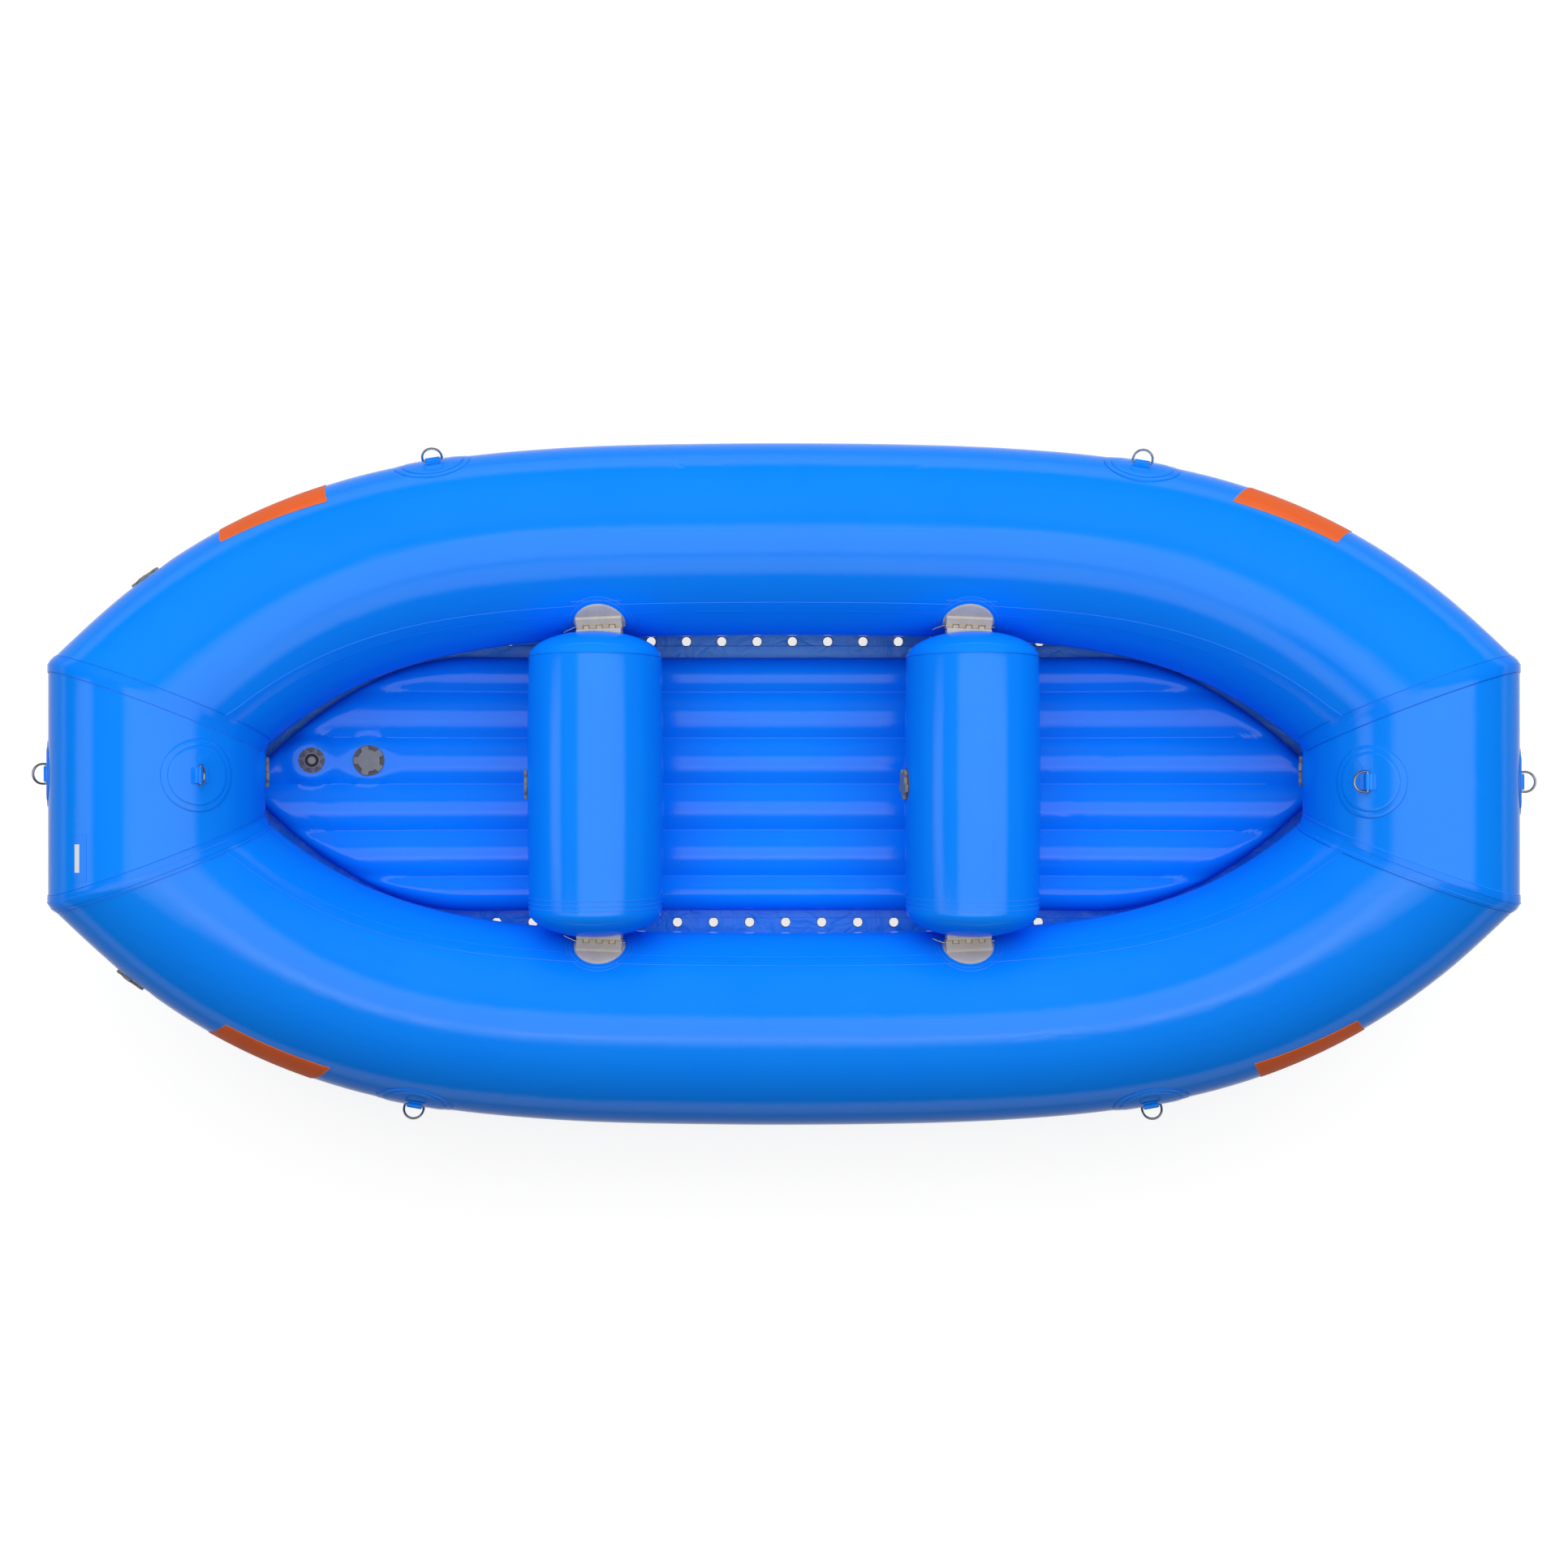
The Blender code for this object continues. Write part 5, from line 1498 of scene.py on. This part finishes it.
# %% [markdown]
# ## D-rings
#
# A D-ring's bar is caught in a fold of webbing on a patch of two layers. The
# ring swings about the bar, so it is a piece of its own on its own body.

# %% Patches with their webbing
SIDE_RINGS = {"port_stern": (-0.841, 63.0), "port_bow": (0.856, 60.0),
              "starboard_stern": (-0.880, 64.0), "starboard_bow": (0.875, 64.0)}
END_RINGS = {"stern_outer": (0.024, 77.0), "bow_outer": (0.005, 77.0),
             "stern_top": (0.020, -42.0), "bow_top": (0.005, -42.0)}
RING_LAYERS = ((0.0830, 0.0018), (0.0680, 0.0035))
RING_LAYER_EDGE = 0.0005
# The dark line round each layer, glue and painted shade at its step: how far
# outside its edge, over what carries it, and how thick
GLUE_AND_SHADE_OUTSIDE = 0.0003
GLUE_AND_SHADE_LINES = ((0.0002, 0.0007), (0.0001, 0.0006))
WEBBING_HALF_WIDTH = 0.0180
WEBBING_THICKNESS = 0.0022
WEBBING_EDGE = 0.0008
WEBBING_LIFT = 0.0001
WIRE_RADIUS = 0.0030
WIRE_PLAY = 0.0006
BAR_HEIGHT = WIRE_RADIUS + WIRE_PLAY + WEBBING_THICKNESS
PUCKER_RADIUS = 0.0009
PUCKER_BEND = 0.003
PUCKER_STEPS = 12
# Each pucker's start and end on the patch, and its height
PUCKERS = (((0.022, -0.012), (0.050, -0.026), 0.0032), ((0.024, 0.004), (0.055, 0.004), 0.0031))


def webbing_mesh():
    """A fold of webbing over the ring's bar, in the patch's own frame."""
    low = WEBBING_THICKNESS / 2 + WEBBING_LIFT
    turn_radius = WIRE_RADIUS + WIRE_PLAY + WEBBING_THICKNESS / 2
    half = [(0.0185, low), (0.0125, low), (0.0088, low + 0.0003), (0.0066, low + 0.0016)]
    half += arc((0.0, BAR_HEIGHT), turn_radius, -12, 90, 9)
    line = [Vector((0, y, z)) for y, z in half]
    line += [Vector((0, -p.y, p.z)) for p in reversed(line[:-1])]
    line = smoothed(line, 4)
    rows = []
    for i, point in enumerate(line):
        before, after = line[max(0, i - 1)], line[min(len(line) - 1, i + 1)]
        out = Vector((1, 0, 0)).cross((after - before).normalized()) * (WEBBING_THICKNESS / 2)
        wide, edge = WEBBING_HALF_WIDTH, WEBBING_HALF_WIDTH - WEBBING_EDGE
        section = [(-edge, 1), (edge, 1), (wide, 0.4), (wide, -0.4), (edge, -1), (-edge, -1),
                   (-wide, -0.4), (-wide, 0.4)]
        rows.append([point + Vector((x, 0, 0)) + out * lift for x, lift in section])
    return skin_mesh("webbing", rows)


def crease_mesh(spot, station, degrees, start, end, height):
    """A small pucker in a patch, as a low rounded ridge."""
    points = []
    for k in range(PUCKER_STEPS + 1):
        share = k / PUCKER_STEPS
        bend = PUCKER_BEND * math.sin(math.pi * share)
        points.append(laid_point(spot, station, degrees, start[0] + (end[0] - start[0]) * share,
                                 start[1] + (end[1] - start[1]) * share + bend, height))
    return bead_mesh("pucker", points, PUCKER_RADIUS)


def ring_patch(name, spot, station, degrees, *axes):
    """A ring's patch of two layers with its webbing, and the lines of glue and painted shade at its
    edges.
    """
    where = (spot, station, degrees)
    carriers = (0.0, RING_LAYERS[0][1])
    discs = [disc_mesh(*where, radius, 0.0, top, RING_LAYER_EDGE) for radius, top in RING_LAYERS]
    fold = webbing_mesh()
    fold.transform(framed(*where, RING_LAYERS[-1][1]))
    puckers = [crease_mesh(*where, *pucker) for pucker in PUCKERS]
    patch = joined("patch", [*discs, fold, *puckers], tube_fabric)
    circles = [circle_bead(*where, radius + GLUE_AND_SHADE_OUTSIDE, under + lift, thickness)
               for (radius, _), under, (lift, thickness) in zip(RING_LAYERS, carriers, GLUE_AND_SHADE_LINES)]
    edge = joined("edge", circles, seam_glue)
    hull_piece(mirror_to(patch, "ring_patch_fabric_" + name, *axes), "ring_patch_" + name,
               slot="hull_fabric")
    hull_piece(mirror_to(edge, "ring_patch_edges_" + name, *axes), slot="seam_tape")
    for piece in (patch, edge):
        bpy.data.objects.remove(piece)


for name, (x, angle) in SIDE_RINGS.items():
    ring_patch(name, side_spot, x, angle, *((1,) if "starboard" in name else ()))
for name, (y, angle) in END_RINGS.items():
    ring_patch(name, end_spot, y, angle, *((0,) if "stern" in name else ()))
print("ring patches:", len(SIDE_RINGS) + len(END_RINGS))

# %% The rings
RING_HALF_WIDTH = 0.0235
RING_THROAT = 0.0080
RING_CORNER = 0.0032


def ring_line():
    """A D: a straight bar, two short arms and a round bow."""
    corner, half = RING_CORNER, RING_HALF_WIDTH
    points = arc((0.0, RING_THROAT), half, 0, 180, 36)
    points += arc((-half + corner, corner), corner, 180, 270, 5)
    points += [(-half * 0.4, 0.0), (half * 0.4, 0.0)]
    points += arc((half - corner, corner), corner, 270, 360, 5)
    return [Vector((u, 0.0, v)) for u, v in points]


for name in [*SIDE_RINGS, *END_RINGS]:
    joint = joints[f"d_ring_{name}_swing"]
    bar = Vector(joint["pos_m"])
    axis = Vector(joint["axis"]).normalized()
    reach = node_points("d_ring_" + name)[1] - bar
    reach = (reach - axis * reach.dot(axis)).normalized()
    matrix = axes_at(bar, axis, reach.cross(axis), reach)
    wire = bead_mesh("ring", [matrix @ p for p in ring_line()], WIRE_RADIUS, closed=True, sides=14)
    ring = joined("steel_ring_" + name, [wire], stainless)
    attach(ring, "d_ring_" + name)
    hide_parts("d_ring_" + name)
print("rings:", len(SIDE_RINGS) + len(END_RINGS))

# %% [markdown]
# ## Valves
#
# An inflation valve is a flanged body with a lobed cap, which takes a quarter
# turn or so to open. A spring holds its plunger shut. All three are turned
# shapes, and the cap's outline has five lobes that fingers can grip.

# %% Turned shapes in a valve's frame
TURNED_POINTS = 72
# A notch is the rim's point nearest to the axis. The rim's vertices lie near the
# top and outside a radius, which differs for a cap and for the relief valve's body.
CAP_INSIDE = 0.028
BODY_INSIDE = 0.022
RIM_DEPTH = 0.012
FITTING_SMOOTH = 32.0


def valve_frame(name):
    """The valve's frame: X along a notch of its cap, Z outward."""
    _, axis, level = seats[name]
    source, inside = ((name + "_cap", CAP_INSIDE) if name + "_cap" in nodes
                      else (name + "_body", BODY_INSIDE))
    points, centre = node_points(source)
    top = max(p.dot(axis) for p in points)
    rim = [p for p in points
           if top - p.dot(axis) < RIM_DEPTH and off_axis(p, centre, axis) > inside]
    notch = min(rim, key=lambda p: off_axis(p, centre, axis))
    along = notch - centre
    along = (along - axis * along.dot(axis)).normalized()
    return axes_at(centre - axis * (centre.dot(axis) - level), along, axis.cross(along), axis)


def round_row(radius, z, count=TURNED_POINTS):
    return [Vector((radius * math.cos(t), radius * math.sin(t), z)) for t in circle_turns(count)]


def turned(profile, *poles):
    """A profile turned about the axis: closed on itself, or between two poles."""
    rows = [round_row(r, z) for r, z in profile]
    if poles:
        return skin_mesh("turned", rows, ends=[Vector((0, 0, z)) for z in poles])
    return joined_rows([*rows, rows[0]])


def joined_rows(rows):
    """A ring shape whose last row meets its first."""
    mesh = skin_mesh("turned", rows, ends=("open", "open"))
    bm = bmesh.new()
    bm.from_mesh(mesh)
    bmesh.ops.remove_doubles(bm, verts=bm.verts, dist=2 * DOUBLES_WITHIN)
    bmesh.ops.recalc_face_normals(bm, faces=bm.faces)
    bm.to_mesh(mesh)
    bm.free()
    return mesh


def fitting(name, mesh, matrix, finish, body, slot, *replaced):
    """A piece of a fitting, put in its place and on its body."""
    mesh.transform(matrix)
    piece = link(name, mesh, finish, FITTING_SMOOTH)
    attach(piece, body)
    if replaced:
        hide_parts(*replaced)


print("valve helpers ready")

# %% Bodies, caps and plungers
CAP_RADIUS = 0.0385
CAP_NOTCH = 0.0105
CAP_TOP = 0.0088
CAP_LOBES = 5
CAP_POINTS = 180
# A notch's flat bottom and its slope, as shares of half the pitch
NOTCH_FLAT = 0.46
NOTCH_SLOPE = 0.16
HOLLOW_RADIUS = 0.0157
HOLLOW_TOP = 0.0048
SPIGOT_RADIUS = 0.0182
SPIGOT_FOOT = -0.0057
BODY_TOP = 0.0010
# Profiles of radius and height
BODY_PROFILE = [(0.0395, 0.0004), (0.0395, -0.0066), (0.0390, -0.0070), (0.0260, -0.0070),
                (0.0260, -0.0320), (0.0190, -0.0320), (0.0190, -0.0150), (0.0120, -0.0150),
                (0.0120, -0.0120), (0.0190, -0.0120), (0.0190, 0.0008), (0.0193, BODY_TOP),
                (0.0389, BODY_TOP)]
PLUNGER_PROFILE = [(0.0165, -0.0190), (0.0165, -0.0153), (0.0040, -0.0153), (0.0040, -0.0040),
                   (0.0086, -0.0040), (0.0090, -0.0036), (0.0090, -0.0014), (0.0086, -0.0010)]


def lobed_radius(turn, radius, notch):
    """A flat-bottomed notch between every two lobes. A notch lies at turn 0."""
    pitch = math.tau / CAP_LOBES
    off = abs((turn + pitch / 2) % pitch - pitch / 2) / (pitch / 2)
    share = min(1.0, max(0.0, (off - NOTCH_FLAT) / NOTCH_SLOPE))
    return radius - notch * (1 - eased(share))


def lobed_row(radius, z, notch=CAP_NOTCH):
    return [Vector((lobed_radius(t, radius, notch) * math.cos(t),
                    lobed_radius(t, radius, notch) * math.sin(t), z))
            for t in circle_turns(CAP_POINTS)]


def cap_mesh():
    """A hollow spigot under a lobed head with a rounded edge."""
    base = BODY_TOP + 0.0003
    rows = [round_row(r, z, CAP_POINTS)
            for r, z in ((HOLLOW_RADIUS, HOLLOW_TOP), (HOLLOW_RADIUS, SPIGOT_FOOT),
                         (SPIGOT_RADIUS, SPIGOT_FOOT), (SPIGOT_RADIUS, base))]
    rows += [lobed_row(CAP_RADIUS - inset, z)
             for inset, z in ((0.0004, base), (0.0, base + 0.0004), (0.0, CAP_TOP - 0.0012),
                              (0.0003, CAP_TOP - 0.0005), (0.0010, CAP_TOP - 0.0001))]
    rows += [lobed_row((CAP_RADIUS - 0.001) * shrink, CAP_TOP, CAP_NOTCH * shrink)
             for shrink in (0.94, 0.8, 0.6, 0.4, 0.2)]
    return skin_mesh("cap", rows, ends=(Vector((0, 0, HOLLOW_TOP)), Vector((0, 0, CAP_TOP))))


for name in valve_names:
    if name == "relief_valve":
        continue
    matrix = valve_frame(name)
    # The body's flange shows in the cap's notches, and its dark finish is painted shade there.
    fitting(name + "_flange", turned(BODY_PROFILE), matrix, valve_shade, "raft",
            "valve_plastic", name + "_body")
    fitting(name + "_lobed_cap", cap_mesh(), matrix, valve_plastic, name + "_cap",
            "valve_plastic", name + "_cap")
    if name + "_plunger" in nodes:
        button = turned(PLUNGER_PROFILE, PLUNGER_PROFILE[0][1], PLUNGER_PROFILE[-1][1])
        fitting(name + "_button", button, matrix, valve_inner, name + "_plunger",
                "valve_inner", name + "_plunger")
print("inflation valves:", len(valve_names) - 1)

# %% The relief valve
# Seven pointed arms rise from a thin rim to the collar that holds a rubber
# poppet. A dark ring under them fills the gaps between the arms with painted
# shade. Air lifts the poppet when the floor is blown too hard.
RELIEF_RADIUS = 0.0325
RELIEF_ARMS = 7
COLLAR_TOP = 0.0120
COLLAR_RADIUS = 0.0197
RIM_HEIGHT = 0.0012
ARM_TURN = math.radians(8)
ARM_HOLLOW = 0.0008
ARM_POINT = 0.16
ARM_STEPS = 12
STAR_POINTS = 210
STAR_UNDER = [(0.0100, 0.0090), (0.0100, -0.0260), (0.0210, -0.0260), (0.0210, -0.0070),
              (0.0322, -0.0070), (RELIEF_RADIUS, -0.0066)]
STAR_COLLAR = [(COLLAR_RADIUS, COLLAR_TOP), (COLLAR_RADIUS - 0.0004, COLLAR_TOP + 0.0003),
               (0.0178, COLLAR_TOP + 0.0003), (0.0175, COLLAR_TOP), (0.0175, 0.0090),
               (0.0100, 0.0090)]
SHADE_RING_PROFILE = [(0.0320, 0.0012), (0.0320, -0.0004), (0.0186, -0.0004), (0.0186, 0.0022),
                (0.0316, 0.0018)]
POPPET_PROFILE = [(0.0092, -0.0200), (0.0092, 0.0093), (0.0160, 0.0093), (0.0165, 0.0098),
                  (0.0165, 0.0126), (0.0158, 0.0134), (0.0112, 0.0136), (0.0102, 0.0130)]
POPPET_POLES = (-0.0200, 0.0128)
BUTTON_PROFILE = [(0.0098, 0.0126), (0.0098, 0.0134), (0.0094, 0.0138), (0.0060, 0.0141),
                  (0.0020, 0.0141), (0.0016, 0.0137)]
BUTTON_POLES = (0.0126, 0.0137)


def arm_height(radius, turn):
    """Arms as ridges that are broad at the collar and pointed at the rim."""
    rise = (RELIEF_RADIUS - radius) / (RELIEF_RADIUS - COLLAR_RADIUS)
    pitch = math.tau / RELIEF_ARMS
    off = abs((turn + ARM_TURN) % pitch - pitch / 2) / (pitch / 2)
    width = ARM_POINT + (1 - ARM_POINT) * rise
    ridge = max(0.0, 1 - off / width)
    hollow = ARM_HOLLOW * (1 - ridge) * min(1.0, 6 * rise)
    return RIM_HEIGHT + (COLLAR_TOP - RIM_HEIGHT) * rise * ridge - hollow


def arm_row(radius):
    return [Vector((radius * math.cos(t), radius * math.sin(t), arm_height(radius, t)))
            for t in circle_turns(STAR_POINTS)]


def relief_body():
    """The star: its underside, the arms from the rim inward, and the collar."""
    arms = [arm_row(RELIEF_RADIUS - (RELIEF_RADIUS - COLLAR_RADIUS) * k / ARM_STEPS)
            for k in range(ARM_STEPS + 1)]
    return joined_rows([*(round_row(r, z, STAR_POINTS) for r, z in STAR_UNDER), *arms,
                        *(round_row(r, z, STAR_POINTS) for r, z in STAR_COLLAR)])


relief_frame = valve_frame("relief_valve")
fitting("relief_valve_star", relief_body(), relief_frame, button_plastic, "raft",
        "valve_plastic", "relief_valve_body")
# The dark ring under the arms is painted shade in the gaps between them.
fitting("relief_valve_base", turned(SHADE_RING_PROFILE), relief_frame, valve_shade, "raft",
        "valve_plastic")
fitting("relief_valve_disc", turned(POPPET_PROFILE, *POPPET_POLES), relief_frame,
        relief_rubber, "relief_valve_poppet", "relief_rubber", "relief_valve_poppet")
fitting("relief_valve_button", turned(BUTTON_PROFILE, *BUTTON_POLES), relief_frame,
        button_plastic, "relief_valve_poppet", "valve_plastic")
print("relief valve:", RELIEF_ARMS, "arms")

# %% [markdown]
# ## Coloured patches
#
# Four orange panels lie on the outer sides near the ends, and a small pale label
# lies on the stern. They are left plain. Each is given by its four corners, as
# stations and angles on the tube.

# %% Panels laid on the skin
PANEL_THICKNESS = 0.0012
PANEL_SUNK = -0.0004
PANEL_ACROSS = 24
PANEL_DOWN = 16
BORDER_RADIUS = 0.0008
BORDER_STEPS = 20
ORANGE_PANELS = {
    "port_stern": ((-1.272, 45.3), (-1.074, 42.3), (-1.060, 78.0), (-1.250, 78.0)),
    "port_bow": ((1.060, 40.1), (1.260, 39.7), (1.262, 76.0), (1.080, 76.0)),
    "starboard_stern": ((-1.267, 41.3), (-1.067, 42.7), (-1.090, 70.5), (-1.277, 68.5)),
    "starboard_bow": ((1.100, 43.7), (1.290, 45.5), (1.285, 70.0), (1.097, 70.5)),
}


def panel_point(spot, corners, s, t, height):
    (x0, a0), (x1, a1), (x2, a2), (x3, a3) = corners
    station = (x0 * (1 - s) + x1 * s) * (1 - t) + (x3 * (1 - s) + x2 * s) * t
    degrees = (a0 * (1 - s) + a1 * s) * (1 - t) + (a3 * (1 - s) + a2 * s) * t
    return spot(station, degrees, height)[0]


def panel_mesh(spot, corners, thickness):
    """A thin panel on a tube, sunk a little into its skin."""
    rows = []
    for k in range(PANEL_ACROSS + 1):
        s = k / PANEL_ACROSS
        row = [panel_point(spot, corners, s, t / PANEL_DOWN, thickness)
               for t in range(PANEL_DOWN + 1)]
        row += [panel_point(spot, corners, s, t / PANEL_DOWN, PANEL_SUNK)
                for t in range(PANEL_DOWN, -1, -1)]
        rows.append(row)
    return skin_mesh("panel", rows)


def border_bead(spot, corners):
    """A raised line round a panel's edge, whose paler orange is a painted highlight."""
    line = []
    marks = [(0, 0), (1, 0), (1, 1), (0, 1)]
    for (s0, t0), (s1, t1) in zip(marks, marks[1:] + marks[:1]):
        for k in range(BORDER_STEPS):
            s = s0 + (s1 - s0) * k / BORDER_STEPS
            t = t0 + (t1 - t0) * k / BORDER_STEPS
            line.append(panel_point(spot, corners, s, t, BORDER_RADIUS))
    return bead_mesh("border", line, BORDER_RADIUS, closed=True)


for name, corners in ORANGE_PANELS.items():
    panel = joined("orange_panel_" + name, [panel_mesh(side_spot, corners, PANEL_THICKNESS)],
                   orange_fabric)
    border = joined("orange_border_" + name, [border_bead(side_spot, corners)], orange_edge)
    for piece in (panel, border):
        piece.data = mirrored(piece.data, *SIDES[name.split("_")[0]])
        hull_piece(piece, slot="seam_tape")

LABEL_PATCH = ((-0.1127, 17.4), (-0.2226, 17.4), (-0.2226, 27.4), (-0.1127, 27.4))
LABEL_STRIP = ((-0.1365, 22.0), (-0.2006, 22.0), (-0.2006, 25.3), (-0.1365, 25.3))
for name, corners, height, finish in (("label_patch", LABEL_PATCH, 0.0010, tape_fabric),
                                      ("label_strip", LABEL_STRIP, 0.0014, label_fabric)):
    panel = joined(name, [panel_mesh(end_spot, corners, height)], finish)
    panel.data = mirrored(panel.data, 0)
    hull_piece(panel, slot="seam_tape")
print("panels:", len(ORANGE_PANELS) + 2)

# %% [markdown]
# ## Ground and light
#
# A shiny hull shows its lamps as bands. Two rows of soft light overhead make the
# broad bands along every tube and the thin ones on the thwarts' flanks. A panel
# that stands over the starboard tube adds the second band on the port side. The
# room is dim otherwise, so the blue between the bands stays deep. Two fills that
# gloss doesn't show lift the hull to its own colour, more from port.

# %% The ground
# The ground is pale paper. To the eye and in gloss it glows, which keeps it
# white, and the raft still shades it.
GROUND_SIZE = 60.0
GROUND_PALE = 0.30
GROUND_GLOW = 0.80
GROUND_ROUGHNESS = 0.9
GROUND_LEVEL = -0.001
ground_mesh = bpy.data.meshes.new("ground")
half = GROUND_SIZE / 2
ground_mesh.from_pydata([(-half, -half, 0), (half, -half, 0), (half, half, 0), (-half, half, 0)],
                        [], [(0, 1, 2, 3)])
ground_material, tree, shader = new_finish("ground_white")
shader.inputs["Base Color"].default_value = (GROUND_PALE, GROUND_PALE, GROUND_PALE, 1.0)
shader.inputs["Roughness"].default_value = GROUND_ROUGHNESS
shader.inputs["Specular IOR Level"].default_value = 0.0
rays = tree.nodes.new("ShaderNodeLightPath")
seen = maths(tree, "MAXIMUM", rays.outputs["Is Camera Ray"],
             maths(tree, "MAXIMUM", rays.outputs["Is Glossy Ray"],
                   rays.outputs["Is Transmission Ray"]))
shader.inputs["Emission Color"].default_value = (1.0, 1.0, 1.0, 1.0)
tree.links.new(maths(tree, "MULTIPLY", seen, GROUND_GLOW), shader.inputs["Emission Strength"])
ground = link("ground", ground_mesh, ground_material)
ground.location.z = GROUND_LEVEL
print("ground ready")

# %% The light
WORLD_STRENGTH = 0.05
world = bpy.data.worlds.new("studio")
bpy.context.scene.world = world
world.use_nodes = True
world.node_tree.nodes["Background"].inputs["Color"].default_value = (1, 1, 1, 1)
world.node_tree.nodes["Background"].inputs["Strength"].default_value = WORLD_STRENGTH


def soft_panel(name, place, size, radiance, aim, glossy=True):
    """A rectangle of light of an even radiance, turned to a point."""
    lamp = bpy.data.lights.new(name, "AREA")
    lamp.shape = "RECTANGLE"
    lamp.size, lamp.size_y = size
    lamp.energy = math.pi * size[0] * size[1] * radiance
    holder = bpy.data.objects.new(name, lamp)
    holder.location = place
    holder.rotation_euler = (Vector(place) - Vector(aim)).to_track_quat("Z", "Y").to_euler()
    holder.visible_camera = False
    holder.visible_glossy = glossy
    bpy.context.scene.collection.objects.link(holder)


ROW_HEIGHT = 6.0
ROW_Y = -0.17
ROW_WIDTH = 3.45
ROW_RADIANCE = 0.94
for name, x, length in (("overhead_row", 2.5, 10.6), ("far_row", -14.1, 11.7)):
    soft_panel(name, (x, ROW_Y, ROW_HEIGHT), (length, ROW_WIDTH), ROW_RADIANCE,
               aim=(x, ROW_Y, 0.0))
soft_panel("starboard_panel", (-0.6, -0.765, 2.33), (4.4, 1.45), 0.85,
           aim=(-0.6, 5.0, 2.33))
soft_panel("sky_fill", (0.0, 0.5, 7.0), (14.0, 12.0), 0.60, aim=(0.0, 0.0, 0.0), glossy=False)
soft_panel("port_fill", (0.0, 8.0, 7.0), (20.0, 10.0), 1.75, aim=(0.0, 0.0, 0.3), glossy=False)
bpy.context.scene.view_settings.view_transform = "Standard"
print("light ready")
